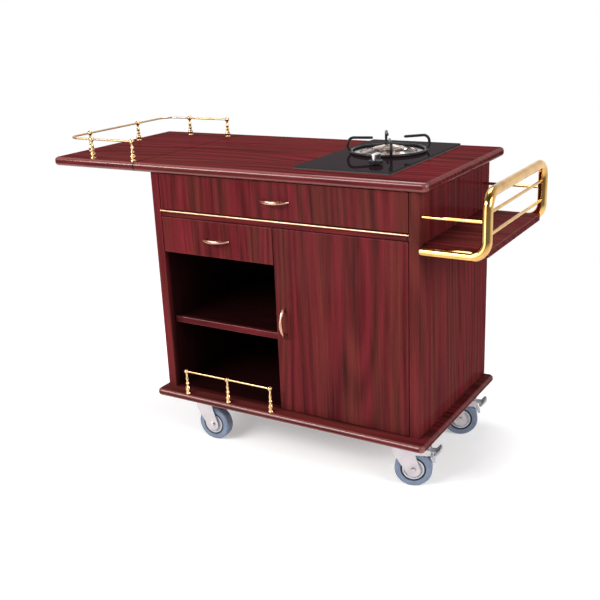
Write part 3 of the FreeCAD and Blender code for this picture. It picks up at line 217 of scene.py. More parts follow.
class Bench(Nodes):
    """Material under way: a node tree round one principled shader."""

    def __init__(self, name: str) -> None:
        """Start an empty material.

        Args:
            name: Name of the material.
        """
        self.material: bpy.types.Material = bpy.data.materials.new(name)
        self.material.use_nodes = True
        super().__init__(self.material.node_tree)
        self.shader: bpy.types.Node = self.add("BsdfPrincipled")
        self.join(self.shader.outputs["BSDF"], self.add("OutputMaterial").inputs["Surface"])

    def coords(self, scale: float | Point, offset: Point = ORIGIN, turn: Point = ORIGIN) -> Socket:
        """Object coordinates, moved, turned and stretched.

        Args:
            scale: Cycles per metre, along all axes or each.
            offset: Shift in cycles.
            turn: Rotation in radians.

        Returns:
            The vector socket.
        """
        mapping = self.add("Mapping")
        mapping.inputs["Location"].default_value = offset
        mapping.inputs["Rotation"].default_value = turn
        mapping.inputs["Scale"].default_value = scale if isinstance(scale, tuple) else (scale,) * 3
        self.join(self.where("Object"), mapping.inputs["Vector"])
        return mapping.outputs["Vector"]

    def noise(self, vector: Socket, detail: float = 4.0, roughness: float = 0.55,
              distortion: float = 0.0) -> Socket:
        """Fractal noise between 0 and 1.

        Args:
            vector: Where it is read, in cycles.
            detail: Octaves.
            roughness: Strength of the finer octaves.
            distortion: Warp.

        Returns:
            The factor socket.
        """
        node = self.add("TexNoise")
        values = {"Scale": 1.0, "Detail": detail, "Roughness": roughness, "Distortion": distortion}
        for name, value in values.items():
            node.inputs[name].default_value = value
        self.join(vector, node.inputs["Vector"])
        return node.outputs["Fac"]

    def ramp(self, value: Socket, stops: Stops) -> Socket:
        """Colour ramp.

        Args:
            value: Place on the ramp.
            stops: Places and colours.

        Returns:
            The colour socket.
        """
        node = self.add("ValToRGB")
        marks = node.color_ramp.elements
        while len(marks) < len(stops):
            marks.new(1.0)
        for mark, (place, colour) in zip(marks, stops):
            mark.position = place
            mark.color = (*colour, 1.0)
        self.join(value, node.inputs["Fac"])
        return node.outputs["Color"]

    def blend(self, share: Socket, first: Socket | Colour, second: Socket | Colour) -> Socket:
        """Mix two colours.

        Args:
            share: How much of the second.
            first: First colour.
            second: Second colour.

        Returns:
            The mixed colour socket.
        """
        node = self.add("Mix")
        node.data_type = "RGBA"
        self.join(share, node.inputs[0])
        for place, colour in ((MixSocket.FIRST, first), (MixSocket.SECOND, second)):
            self.give((*colour, 1.0) if isinstance(colour, tuple) else colour, node.inputs[place.value])
        return node.outputs[MixSocket.RESULT.value]

    def bump(self, height: Socket, strength: float, depth: float) -> None:
        """Feed a height into the shader's normal.

        Args:
            height: Height socket.
            strength: Share of the effect.
            depth: Depth in metres.
        """
        node = self.add("Bump")
        node.inputs["Strength"].default_value = strength
        node.inputs["Distance"].default_value = depth
        self.join(height, node.inputs["Height"])
        self.feed("Normal", node.outputs["Normal"])

    def axes(self) -> tuple[Socket, Socket, Socket]:
        """Object coordinates in metres, one socket for each axis."""
        return self.split(self.where("Object"))

    def radius(self, centre: Point, axle: Point) -> Socket:
        """Distance from an axis.

        Args:
            centre: Point on the axis.
            axle: Unit direction of the axis.

        Returns:
            The distance socket, in metres.
        """
        apart = self.vectors("SUBTRACT", self.where("Object"), centre).outputs["Vector"]
        across = self.vectors("CROSS_PRODUCT", apart, axle).outputs["Vector"]
        return self.vectors("LENGTH", across).outputs["Value"]

    def facing(self) -> tuple[Socket, Socket, Socket]:
        """How far the surface faces along each axis of the piece, either way."""
        return self.split(self.vectors("ABSOLUTE", self.where("Normal")).outputs["Vector"])

    def rounded(self, flat: float = 0.997, full: float = 0.93) -> Socket:
        """Mask of rounded edges, where the surface faces along no axis of the piece.

        Args:
            flat: Largest part of the normal at which the mask starts.
            full: Largest part of the normal at which it is full.

        Returns:
            The mask socket.
        """
        x, y, z = self.facing()
        largest = self.maths("MAXIMUM", self.maths("MAXIMUM", x, y), z)
        return self.spread(largest, 0.0, 1.0, flat, full)

    def front(self, rest: float, full: float = -0.10, none: float = -0.02) -> Socket:
        """Mask of surfaces that lean to the front of the piece.

        Args:
            rest: Value everywhere else.
            full: Part of the normal along y at which the mask is full.
            none: Part of the normal along y at which it ends.

        Returns:
            The mask socket, 1 at the front.
        """
        return self.spread(self.split(self.where("Normal"))[1], 1.0, rest, full, none)

    def edges(self, reach: float, sharp: float = 0.80, flat: float = 0.99) -> Socket:
        """Mask of a strip along the edges of a piece.

        Args:
            reach: Width of the strip in metres.
            sharp: Match of the real and the smoothed normal at which the mask is full.
            flat: Match at which it ends.

        Returns:
            The mask socket, 1 at an edge.
        """
        smooth = self.add("Bevel")
        smooth.inputs["Radius"].default_value = reach
        plain = self.add("NewGeometry").outputs["Normal"]
        match = self.vectors("DOT_PRODUCT", smooth.outputs["Normal"], plain).outputs["Value"]
        return self.spread(match, 1.0, 0.0, sharp, flat)

    def feed(self, name: str, socket: Socket) -> None:
        """Feed a named shader socket."""
        self.join(socket, self.shader.inputs[name])

    def colour(self, socket: Socket) -> None:
        """Feed the base colour."""
        self.feed("Base Color", socket)

    def fix(self, **values: float | Sequence[float]) -> None:
        """Set constant shader sockets, with underscores for spaces."""
        for name, value in values.items():
            self.shader.inputs[name.replace("_", " ")].default_value = value


@dataclass(frozen=True)
class Finish(ABC):
    """Finish of one or more pieces.

    A span named for patches, specks, streaks or smears is the part of a noise's values over which they grow.
    """

    name: str

    @abstractmethod
    def paint(self, bench: Bench) -> None:
        """Build the finish on the material under way."""


@cache
def material(finish: Finish) -> bpy.types.Material:
    """Material of a finish, made when it is first asked for.

    Args:
        finish: Finish to make.

    Returns:
        The material.
    """
    bench = Bench(finish.name)
    finish.paint(bench)
    return bench.material


def middle(node: str) -> Vector:
    """Middle of a CAD node's box."""
    low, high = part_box(node)
    return (low + high) / 2


@dataclass(frozen=True)
class Grain:
    """One layer of wood grain: its cycles per metre across and along the board, and its noise."""

    across: float
    along: float
    detail: float
    roughness: float = 0.55
    distortion: float = 0.0
    tilted: bool = True


@dataclass(frozen=True)
class Mahogany(Finish):
    """Dark red mahogany laminate under a thin satin lacquer, with shade painted into its colour inside the
    cabinet.

    The painted shade starts the given distance behind the cabinet's front and is full after the fade.
    """

    axis: GrainAxis
    seed: float
    tone: float = 0.92

    # Layers of grain, and how a board's seed shifts and tilts them
    figure: Grain = Grain(58.0, 1.7, 5.0, roughness=0.66, distortion=0.3)
    streak: Grain = Grain(400.0, 6.0, 4.0, roughness=0.6)
    pores: Grain = Grain(1300.0, 55.0, 2.0, tilted=False)
    hue: Grain = Grain(24.0, 1.1, 3.0)
    sway: Grain = Grain(3.4, 0.55, 2.0, roughness=0.45)
    seed_step: Point = (3.7, 5.3, 2.9)
    tilt: Point = (0.012, 0.010, 0.010)
    tilt_change: float = 0.006
    band_pitch: float = 0.036
    band_sway: float = 95.0

    # Colour, from dark grain to light
    contrast: float = 1.0
    figure_share: float = 0.54
    streak_share: float = 0.34
    band_share: float = 0.12
    red: Stops = ((0.32, (0.038, 0.0080, 0.0090)), (0.42, (0.094, 0.0132, 0.0156)),
                  (0.51, (0.140, 0.0170, 0.0208)), (0.60, (0.178, 0.0200, 0.0258)),
                  (0.72, (0.240, 0.0270, 0.0330)))
    brown: Stops = ((0.32, (0.042, 0.0125, 0.0105)), (0.50, (0.108, 0.0255, 0.0190)),
                    (0.72, (0.185, 0.0400, 0.0290)))
    brown_share: float = 0.75
    brown_patches: Span = (0.42, 0.62)
    pore: Colour = (0.045, 0.0095, 0.0095)
    pore_share: float = 0.5
    pore_specks: Span = (0.60, 0.72)

    # Wear along sharp edges, and a painted highlight and more gloss on the rounded noses, most where they
    # face the front
    edge: float = 0.0014
    edge_wear: float = 0.35
    worn: Colour = (0.27, 0.085, 0.072)
    worn_patches: Span = (0.40, 0.62)
    # Colour of the painted highlight on the noses
    pale: Colour = (0.36, 0.120, 0.105)
    nose_light: float = 0.08
    nose_sides: float = 0.35
    nose_gloss: float = 0.08

    # Painted shade inside the cabinet, whose walls it overlaps by a hair
    painted_shade_share: float = 0.95
    painted_shade_dark: Colour = (0.0090, 0.0024, 0.0025)
    painted_shade_light: Colour = (0.0160, 0.0038, 0.0040)
    painted_shade_streaks: Span = (0.40, 0.60)
    painted_shade_from: float = 0.0295
    fade: float = 0.05
    hair: float = 0.0005
    wall_step: float = 0.0002

    # Seam between worktop and leaf
    open_seam: Colour = (0.015, 0.004, 0.004)
    seam_half: float = 0.0026
    seam_core: float = 0.3
    seam_depth: float = 0.95
    end_faces: Span = (0.5, 0.8)

    # Lacquer and relief
    gloss: float = 0.04
    lacquer: Span = (0.34, 0.48)
    lacquer_streaks: Span = (0.35, 0.65)
    coat_haze: float = 0.12
    relief: float = 0.3
    bump: float = 0.25
    depth: float = 0.00012

    def tint(self, colour: Colour) -> Colour:
        """Colour at this board's tone."""
        return tuple(part * self.tone for part in colour)

    def shades(self, stops: Stops) -> Stops:
        """Stops of a ramp at this board's tone."""
        return tuple((place, self.tint(colour)) for place, colour in stops)

    def layer(self, bench: Bench, grain: Grain) -> Socket:
        """Noise of one layer of grain.

        Args:
            bench: Material under way.
            grain: The layer.

        Returns:
            The factor socket.
        """
        scale = tuple(grain.along if n == self.axis.value else grain.across for n in range(3))
        offset = tuple(self.seed * step for step in self.seed_step)
        x, y, z = self.tilt
        turn = (x, y + self.tilt_change * math.sin(self.seed), z) if grain.tilted else ORIGIN
        return bench.noise(bench.coords(scale, offset, turn), grain.detail, grain.roughness, grain.distortion)

    def bands(self, bench: Bench) -> Socket:
        """Arched growth bands of plain-sawn wood.

        Args:
            bench: Material under way.

        Returns:
            The band height socket, 0 to 1.
        """
        x, y, z = bench.axes()
        across = bench.plus(y, z if self.axis is GrainAxis.ALONG else x)
        turn = bench.times(across, 2.0 * math.pi / self.band_pitch)
        bent = bench.plus(turn, bench.times(self.layer(bench, self.sway), self.band_sway))
        return bench.spread(bench.maths("SINE", bent), 0.0, 1.0, -1.0, 1.0)

    def timber(self, bench: Bench, figure: Socket, streak: Socket) -> Socket:
        """Colour of the wood before pores, wear and lining.

        Args:
            bench: Material under way.
            figure: Broad grain.
            streak: Fine grain.

        Returns:
            The colour socket.
        """
        shade = bench.plus(bench.times(figure, self.figure_share), bench.times(streak, self.streak_share))
        shade = bench.plus(shade, bench.times(self.bands(bench), self.band_share))
        shade = bench.spread(shade, 0.5 - self.contrast, 0.5 + self.contrast, -0.5, 1.5)
        browner = bench.spread(self.layer(bench, self.hue), 0.0, self.brown_share, *self.brown_patches)
        return bench.blend(browner, bench.ramp(shade, self.shades(self.red)),
                           bench.ramp(shade, self.shades(self.brown)))

    def seam(self, bench: Bench) -> Socket:
        """Mask of the open seam between worktop and leaf, on all but the end faces that meet there.

        Args:
            bench: Material under way.

        Returns:
            The mask socket.
        """
        place = (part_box("leaf_board")[1].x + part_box("worktop")[0].x) / 2
        apart = bench.maths("ABSOLUTE", bench.minus(bench.axes()[0], place))
        gap = bench.spread(apart, self.seam_depth, 0.0, self.seam_core * self.seam_half, self.seam_half)
        return bench.times(gap, bench.spread(bench.facing()[0], 1.0, 0.0, *self.end_faces))

    def inside(self, bench: Bench) -> Socket:
        """Mask of the surfaces that face into the cabinet, where shade is painted.

        Args:
            bench: Material under way.

        Returns:
            The mask socket, 1 well inside.
        """
        x, y, z = bench.axes()
        left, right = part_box("left_side_panel"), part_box("right_side_panel")
        start = left[0].y + self.painted_shade_from
        mask = bench.spread(y, 0.0, 1.0, start, start + self.fade)
        walls = ((x, left[1].x - self.hair, 0.0), (x, right[0].x + self.hair, 1.0),
                 (z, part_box("base_board")[1].z - self.hair, 0.0), (z, left[1].z + self.hair, 1.0),
                 (y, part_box("back_panel")[0].y + self.hair, 1.0))
        for value, wall, below in walls:
            side = bench.spread(value, below, 1.0 - below, wall - self.wall_step, wall + self.wall_step)
            mask = bench.times(mask, side)
        return mask

    def paint(self, bench: Bench) -> None:
        """Build the grain, pores, wear, painted nose highlight, painted shade inside the cabinet, and
        lacquer.

        Args:
            bench: Material under way.
        """
        figure = self.layer(bench, self.figure)
        streak = self.layer(bench, self.streak)
        pores = bench.spread(self.layer(bench, self.pores), 0.0, self.pore_share, *self.pore_specks)
        wood = bench.blend(pores, self.timber(bench, figure, streak), self.tint(self.pore))
        # Painted highlight on the rounded noses, full where they face the front
        nose = bench.times(bench.rounded(), bench.front(self.nose_sides))
        wood = bench.blend(bench.times(nose, self.nose_light), wood, self.tint(self.pale))
        patches = bench.spread(figure, 0.0, self.edge_wear, *self.worn_patches)
        wood = bench.blend(bench.times(bench.edges(self.edge), patches), wood, self.tint(self.worn))
        seam = self.seam(bench)
        wood = bench.blend(seam, wood, self.tint(self.open_seam))
        # Painted shade inside the cabinet, darker with depth behind the front
        streaks = bench.spread(streak, 0.0, 1.0, *self.painted_shade_streaks)
        dark = bench.blend(streaks, self.tint(self.painted_shade_dark), self.tint(self.painted_shade_light))
        bench.colour(bench.blend(bench.times(self.inside(bench), self.painted_shade_share), wood, dark))
        bench.feed("Roughness", bench.spread(streak, *self.lacquer, *self.lacquer_streaks))
        bench.feed("Coat Weight", bench.spread(bench.minus(nose, seam), self.gloss, self.nose_gloss))
        bench.bump(bench.minus(bench.times(streak, self.relief), pores), self.bump, self.depth)
        bench.fix(Specular_IOR_Level=0.0, Coat_Roughness=self.coat_haze)


@dataclass(frozen=True)
class Metal(Finish):
    """Metal with patches of tarnish, handling marks, fine scratches and edges rubbed bright."""

    bright: Colour
    dull: Colour
    gloss: float
    matt: float
    cloud: float = 22.0
    marks: Point = (420.0, 380.0, 90.0)
    tarnish_patches: Span = (0.42, 0.72)
    haze_patches: Span = (0.12, 0.42)
    edge: float = 0.0010
    edge_tarnish: float = 0.15
    bump: float = 0.15
    depth: float = 0.00002

    def paint(self, bench: Bench) -> None:
        """Build the tarnish and scratches.

        Args:
            bench: Material under way.
        """
        cloud = bench.noise(bench.coords(self.cloud), detail=5.0, roughness=0.6)
        marks = bench.noise(bench.coords(self.marks), detail=3.0)
        kept = bench.spread(bench.edges(self.edge), 1.0, self.edge_tarnish)
        tarnish = bench.times(bench.spread(cloud, 0.0, 1.0, *self.tarnish_patches), kept)
        bench.colour(bench.blend(tarnish, self.bright, self.dull))
        haze = bench.times(cloud, marks)
        bench.feed("Roughness", bench.spread(haze, self.gloss, self.matt, *self.haze_patches))
        bench.bump(marks, self.bump, self.depth)
        bench.fix(Metallic=1.0)


@dataclass(frozen=True)
class Moulding(Finish):
    """Plastic, rubber, enamel or plain board with a fine moulded skin and edges worn paler."""

    light: Colour
    shade: Colour
    gloss: float
    matt: float
    specular: float = 0.5
    cloud: float = 35.0
    skin: float = 900.0
    shade_patches: Span = (0.35, 0.70)
    worn_patches: Span = (0.35, 0.60)
    matt_patches: Span = (0.30, 0.70)
    bump: float = 0.25
    depth: float = 0.00005
    edge: float = 0.0010
    edge_wear: float = 0.5
    edge_gain: float = 1.25
    edge_lift: float = 0.02

    def paint(self, bench: Bench) -> None:
        """Build the mottled colour and the skin.

        Args:
            bench: Material under way.
        """
        cloud = bench.noise(bench.coords(self.cloud), detail=5.0, roughness=0.6)
        plain = bench.blend(bench.spread(cloud, 0.0, 1.0, *self.shade_patches), self.light, self.shade)
        patches = bench.spread(cloud, 0.0, self.edge_wear, *self.worn_patches)
        pale = tuple(self.edge_gain * part + self.edge_lift for part in self.light)
        bench.colour(bench.blend(bench.times(bench.edges(self.edge), patches), plain, pale))
        bench.feed("Roughness", bench.spread(cloud, self.gloss, self.matt, *self.matt_patches))
        bench.bump(bench.noise(bench.coords(self.skin), detail=2.0), self.bump, self.depth)
        bench.fix(Specular_IOR_Level=self.specular)


@dataclass(frozen=True)
class HobGlass(Finish):
    """Black tempered glass with smears, specks and a ground, slightly chipped edge."""

    black: Colour = (0.015, 0.008, 0.010)
    fleck: Colour = (0.035, 0.025, 0.028)
    ground: Colour = (0.036, 0.036, 0.038)
    chip: Colour = (0.10, 0.10, 0.104)
    smear: float = 14.0
    speck: float = 900.0
    sides: Span = (0.50, 0.95)
    fleck_share: float = 0.5
    fleck_specks: Span = (0.68, 0.80)
    chip_share: float = 0.8
    chip_specks: Span = (0.45, 0.60)
    smears: Span = (0.35, 0.70)
    polish: Span = (0.035, 0.085)
    ground_matt: float = 0.3
    coat: float = 0.09
    coat_haze: float = 0.03
    bump: float = 0.02
    depth: float = 0.00005
    edge: float = 0.0012

    def paint(self, bench: Bench) -> None:
        """Build the gloss and the ground edge.

        Args:
            bench: Material under way.
        """
        level = bench.split(bench.add("NewGeometry").outputs["True Normal"])[2]
        side = bench.spread(level, 1.0, 0.0, *self.sides)
        smear = bench.noise(bench.coords(self.smear), detail=5.0)
        speck = bench.noise(bench.coords(self.speck), detail=1.0)
        flecks = bench.spread(speck, 0.0, self.fleck_share, *self.fleck_specks)
        body = bench.blend(side, bench.blend(flecks, self.black, self.fleck), self.ground)
        chips = bench.spread(speck, 0.0, self.chip_share, *self.chip_specks)
        bench.colour(bench.blend(bench.times(bench.edges(self.edge), chips), body, self.chip))
        dull = bench.spread(smear, *self.polish, *self.smears)
        bench.feed("Roughness", bench.plus(dull, bench.times(side, self.ground_matt)))
        bench.bump(smear, self.bump, self.depth)
        bench.fix(Specular_IOR_Level=0.0, Coat_Weight=self.coat, Coat_Roughness=self.coat_haze)


@dataclass(frozen=True)
class HeatedMetal(Finish):
    """Polished burner metal with heat tint and soot that grow towards the flame.

    The flame is a radius about the centre, and the reach is how far out its heat shows.
    """

    centre: Point
    bright: Colour
    tint: Colour
    soot: Colour
    flame: float
    reach: float
    cloud: float = 60.0
    unevenness: float = 1.1
    turning: float = 9000.0
    turning_share: float = 0.06
    rings: tuple[float, ...] = (0.0, 0.30, 0.55, 0.80, 1.0)
    heat: Span = (-0.2, 1.2)
    smears: Span = (0.35, 0.70)
    polish: Span = (0.10, 0.34)
    bump: float = 0.18
    depth: float = 0.00025
    edge: float = 0.0008
    edge_wear: float = 0.6

    def paint(self, bench: Bench) -> None:
        """Build the tint rings, soot and turning marks.

        Args:
            bench: Material under way.
        """
        radius = bench.radius(self.centre, UP)
        cloud = bench.noise(bench.coords(self.cloud), detail=5.0, roughness=0.65, distortion=0.4)
        out = bench.times(bench.minus(radius, self.flame), 1.0 / self.reach)
        heat = bench.plus(out, bench.times(bench.minus(cloud, 0.5), self.unevenness))
        stops = tuple(zip(self.rings, (self.soot, self.tint, self.bright, self.tint, self.bright)))
        rings = bench.ramp(bench.spread(heat, 0.0, 1.0, *self.heat), stops)
        bench.colour(bench.blend(bench.times(bench.edges(self.edge), self.edge_wear), rings, self.bright))
        bench.feed("Roughness", bench.spread(cloud, *self.polish, *self.smears))
        lines = bench.times(bench.wave(radius, self.turning), self.turning_share)
        bench.bump(bench.plus(cloud, lines), self.bump, self.depth)
        bench.fix(Metallic=1.0)


@dataclass(frozen=True)
class KnobFinish(Finish):
    """Chromed grip over a black moulded skirt, which ends at the height skirt_top."""

    skirt_top: float
    step: float = 0.0001
    cloud: float = 70.0
    skin: float = 800.0
    chrome: tuple[Colour, Colour] = ((0.60, 0.59, 0.59), (0.72, 0.71, 0.70))
    black: tuple[Colour, Colour] = ((0.010, 0.010, 0.011), (0.022, 0.022, 0.023))
    rubbed: Colour = (0.065, 0.065, 0.068)
    worn_patches: Span = (0.35, 0.65)
    matt: Span = (0.30, 0.44)
    matt_patches: Span = (0.30, 0.70)
    polish: float = 0.22
    specular: float = 0.15
    bump: float = 0.1
    depth: float = 0.00003
    edge: float = 0.0007

    def paint(self, bench: Bench) -> None:
        """Build the two finishes, parted by height.

        Args:
            bench: Material under way.
        """
        grip = bench.spread(bench.axes()[2], 0.0, 1.0, self.skirt_top - self.step, self.skirt_top + self.step)
        cloud = bench.noise(bench.coords(self.cloud))
        worn = bench.times(bench.edges(self.edge), bench.spread(cloud, 0.0, 1.0, *self.worn_patches))
        skirt = bench.blend(worn, bench.blend(cloud, *self.black), self.rubbed)
        bench.colour(bench.blend(grip, skirt, bench.blend(cloud, *self.chrome)))
        bench.feed("Metallic", grip)
        matt = bench.spread(cloud, *self.matt, *self.matt_patches)
        bench.feed("Roughness", bench.minus(matt, bench.times(grip, self.polish)))
        bench.bump(bench.noise(bench.coords(self.skin), detail=2.0), self.bump, self.depth)
        bench.fix(Specular_IOR_Level=self.specular)


@dataclass(frozen=True)
class Tyre(Finish):
    """Blue-grey tyre rubber with mould lines and a black bonding ring next to the hub."""

    centre: Point
    axle: Point
    ring: float
    ring_fade: float = 0.0006
    light: Colour = (0.18, 0.225, 0.32)
    worn: Colour = (0.26, 0.31, 0.40)
    line: Colour = (0.06, 0.08, 0.15)
    black: Colour = (0.012, 0.012, 0.014)
    scuff: float = 60.0
    mould: float = 1500.0
    line_share: float = 0.55
    line_crests: Span = (0.55, 0.95)
    worn_patches: Span = (0.35, 0.70)
    matt: Span = (0.42, 0.62)
    matt_patches: Span = (0.30, 0.70)
    specular: float = 0.25
    bump: float = 0.2
    depth: float = 0.0003
    edge: float = 0.0015

    def paint(self, bench: Bench) -> None:
        """Build the ring, mould lines and scuffs.

        Args:
            bench: Material under way.
        """
        radius = bench.radius(self.centre, self.axle)
        scuff = bench.noise(bench.coords(self.scuff), detail=6.0, roughness=0.65)
        lines = bench.wave(radius, self.mould)
        rubber = bench.blend(bench.spread(scuff, 0.0, 1.0, *self.worn_patches), self.light, self.worn)
        crests = bench.spread(lines, 0.0, self.line_share, *self.line_crests)
        rubber = bench.blend(crests, rubber, self.line)
        rubber = bench.blend(bench.edges(self.edge), rubber, self.worn)
        bond = bench.spread(radius, 1.0, 0.0, self.ring, self.ring + self.ring_fade)
        bench.colour(bench.blend(bond, rubber, self.black))
        bench.feed("Roughness", bench.spread(scuff, *self.matt, *self.matt_patches))
        bench.bump(lines, self.bump, self.depth)
        bench.fix(Specular_IOR_Level=self.specular)


# Finishes, with a metal's bright and dull or a moulding's light and shade
PLATED_STEEL = Metal("plated_steel", (0.66, 0.67, 0.69), (0.52, 0.53, 0.55), gloss=0.25, matt=0.45)
DARK_STEEL = Metal("dark_steel", (0.035, 0.030, 0.030), (0.02, 0.017, 0.017), gloss=0.35, matt=0.5)
TRAY_STEEL = Metal("tray_steel", (0.50, 0.51, 0.52), (0.40, 0.41, 0.42), gloss=0.30, matt=0.48)
CASTER_ZINC = Metal("caster_zinc", (0.60, 0.55, 0.57), (0.50, 0.46, 0.48), gloss=0.30, matt=0.48)
BURNER_ALLOY = Metal("burner_alloy", (0.50, 0.49, 0.47), (0.38, 0.37, 0.35), gloss=0.35, matt=0.55)
PROBE_COPPER = Metal("probe_copper", (0.62, 0.34, 0.22), (0.36, 0.20, 0.14), gloss=0.2, matt=0.4)
TAP_BRASS = Metal("tap_brass", (0.66, 0.47, 0.20), (0.50, 0.34, 0.14), gloss=0.25, matt=0.45)
POLISHED_BRASS = Metal("polished_brass", (0.82, 0.50, 0.17), (0.56, 0.31, 0.09), gloss=0.05, matt=0.16)
SATIN_BRASS = Metal("satin_brass", (0.80, 0.53, 0.27), (0.58, 0.36, 0.16), gloss=0.18, matt=0.30)
BRUSHED_BRASS = Metal("brushed_brass", (0.86, 0.55, 0.34), (0.66, 0.40, 0.23), gloss=0.25, matt=0.40)
CHAMPAGNE_BRASS = Metal("champagne_brass", (0.64, 0.35, 0.25), (0.48, 0.25, 0.17), gloss=0.20, matt=0.34)
DRAWER_BOARD = Moulding("drawer_board", (0.52, 0.37, 0.22), (0.44, 0.30, 0.17), gloss=0.4, matt=0.55)
CATCH_BROWN = Moulding("catch_brown", (0.060, 0.022, 0.018), (0.045, 0.017, 0.014), gloss=0.4, matt=0.55)
PROBE_CERAMIC = Moulding("probe_ceramic", (0.66, 0.63, 0.58), (0.55, 0.51, 0.46), gloss=0.25, matt=0.4)
POINTER_WHITE = Moulding("pointer_white", (0.70, 0.69, 0.66), (0.60, 0.58, 0.55), gloss=0.3, matt=0.45)
BLACK_SEALANT = Moulding("black_sealant", (0.010, 0.010, 0.011), (0.02, 0.02, 0.02), gloss=0.4, matt=0.6)
BLACK_ENAMEL = Moulding("black_enamel", (0.012, 0.011, 0.012), (0.024, 0.022, 0.023), gloss=0.22, matt=0.4,
                        specular=0.2)
HUB_WHITE = Moulding("hub_white", (0.60, 0.61, 0.66), (0.52, 0.53, 0.58), gloss=0.35, matt=0.5)
PEDAL_GREY = Moulding("pedal_grey", (0.54, 0.56, 0.60), (0.45, 0.47, 0.50), gloss=0.4, matt=0.55)

# Outlines of turned pieces: radius and height of each point, from the middle of the foot to that of the top
SCREW_HEAD: Profile = (
    (0.0, 0.0), (0.0035, 0.0), (0.0035, 0.0005), (0.0031, 0.0011), (0.0022, 0.0015), (0.0013, 0.0016),
    (0.0011, 0.0010), (0.0, 0.0008))
IGNITER: Profile = (
    (0.0, 0.0), (0.0040, 0.0), (0.0040, 0.0012), (0.0029, 0.0018), (0.0029, 0.0105), (0.0024, 0.0112),
    (0.0024, 0.0180), (0.0018, 0.0190), (0.0008, 0.0192), (0.0008, 0.0262), (0.0005, 0.0268), (0.0, 0.0269))
THERMOCOUPLE: Profile = (
    (0.0, 0.0), (0.0038, 0.0), (0.0038, 0.0032), (0.0030, 0.0038), (0.0021, 0.0040), (0.0021, 0.0200),
    (0.0016, 0.0222), (0.0016, 0.0268), (0.0010, 0.0278), (0.0, 0.0280))


class Shape:
    """Mesh of one small piece, built up in metres in the row frame."""

    screw_sides: int = 16
    sharp: float = 35.0

    def __init__(self) -> None:
        """Start an empty mesh."""
        self.mesh: bmesh.types.BMesh = bmesh.new()

    def turned(self, profile: Profile, foot: Point, axis: Point = UP, sides: int = 24) -> None:
        """Add a turned solid.

        Args:
            profile: Its outline.
            foot: Middle of the foot.
            axis: Direction from foot to top.
            sides: Points round it.
        """
        turn = Vector(axis).to_track_quat("Z", "Y").to_matrix()
        rings = []
        for radius, height in profile:
            angles = [2.0 * math.pi * n / sides for n in range(sides if radius > 0.0 else 1)]
            points = [Vector((radius * math.cos(a), radius * math.sin(a), height)) for a in angles]
            rings.append([self.mesh.verts.new(turn @ point + Vector(foot)) for point in points])
        for low, high in zip(rings, rings[1:]):
            for n in range(sides):
                m = (n + 1) % sides
                corners = [low[n % len(low)], low[m % len(low)], high[m % len(high)], high[n % len(high)]]
                self.mesh.faces.new(list(dict.fromkeys(corners)))

    def screw(self, foot: Point, axis: Point) -> None:
        """Add a screw head."""
        self.turned(SCREW_HEAD, foot, axis, self.screw_sides)

    def swept(self, path: Sequence[tuple[Vector, Vector]], section: Profile) -> None:
        """Add a closed strip of one section along a closed level path.

        Args:
            path: Points of the path, each with its outward direction.
            section: Distance out and height of each point of the section, in order round it.
        """
        rings = [[self.mesh.verts.new(point + out * d + Vector((0.0, 0.0, h))) for d, h in section]
                 for point, out in path]
        for a, b in zip(rings, rings[1:] + rings[:1]):
            for n in range(len(section)):
                m = (n + 1) % len(section)
                self.mesh.faces.new((a[n], b[n], b[m], a[m]))

    def slab(self, low: Point, high: Point, chamfer: float) -> None:
        """Add a block with chamfered edges.

        Args:
            low: Lowest corner.
            high: Highest corner.
            chamfer: Width of the chamfer.
        """
        made = bmesh.ops.create_cube(self.mesh, size=1.0)["verts"]
        for vert in made:
            vert.co = [a + (b - a) * (c + 0.5) for a, b, c in zip(low, high, vert.co)]
        edges = {edge for vert in made for edge in vert.link_edges}
        bmesh.ops.bevel(self.mesh, geom=list(edges), offset=chamfer, segments=2, profile=0.5, affect="EDGES")

    def place(self, name: str, finish: Finish, body: str, slot: str) -> None:
        """Make the object, finish it, and let it move with a body.

        Args:
            name: Name of the piece.
            finish: Its finish.
            body: Body that carries it.
            slot: Material slot of the record; not used.
        """
        bmesh.ops.recalc_face_normals(self.mesh, faces=self.mesh.faces[:])
        data = bpy.data.meshes.new(name)
        self.mesh.to_mesh(data)
        self.mesh.free()
        data.materials.append(material(finish))
        data.shade_smooth()
        data.set_sharp_from_angle(angle=math.radians(self.sharp))
        piece = bpy.data.objects.new(name, data)
        bpy.context.collection.objects.link(piece)
        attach(piece, body)
        LOG.info("built %s on %s", name, body)


def dress(nodes: Sequence[str], finish: Finish) -> None:
    """Give CAD nodes a finish.

    Args:
        nodes: Names of the CAD nodes.
        finish: Finish for all of them.
    """
    for name in nodes:
        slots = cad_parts[name].data.materials
        slots.clear()
        slots.append(material(finish))
        LOG.info("dressed %s in %s", name, finish.name)


class Assembly(ABC):
    """Group of pieces that are built and finished together."""

    def build(self) -> None:
        """Add the small pieces that the frame lacks, where the group has any."""

    @abstractmethod
    def dress(self) -> None:
        """Finish the group's CAD nodes."""


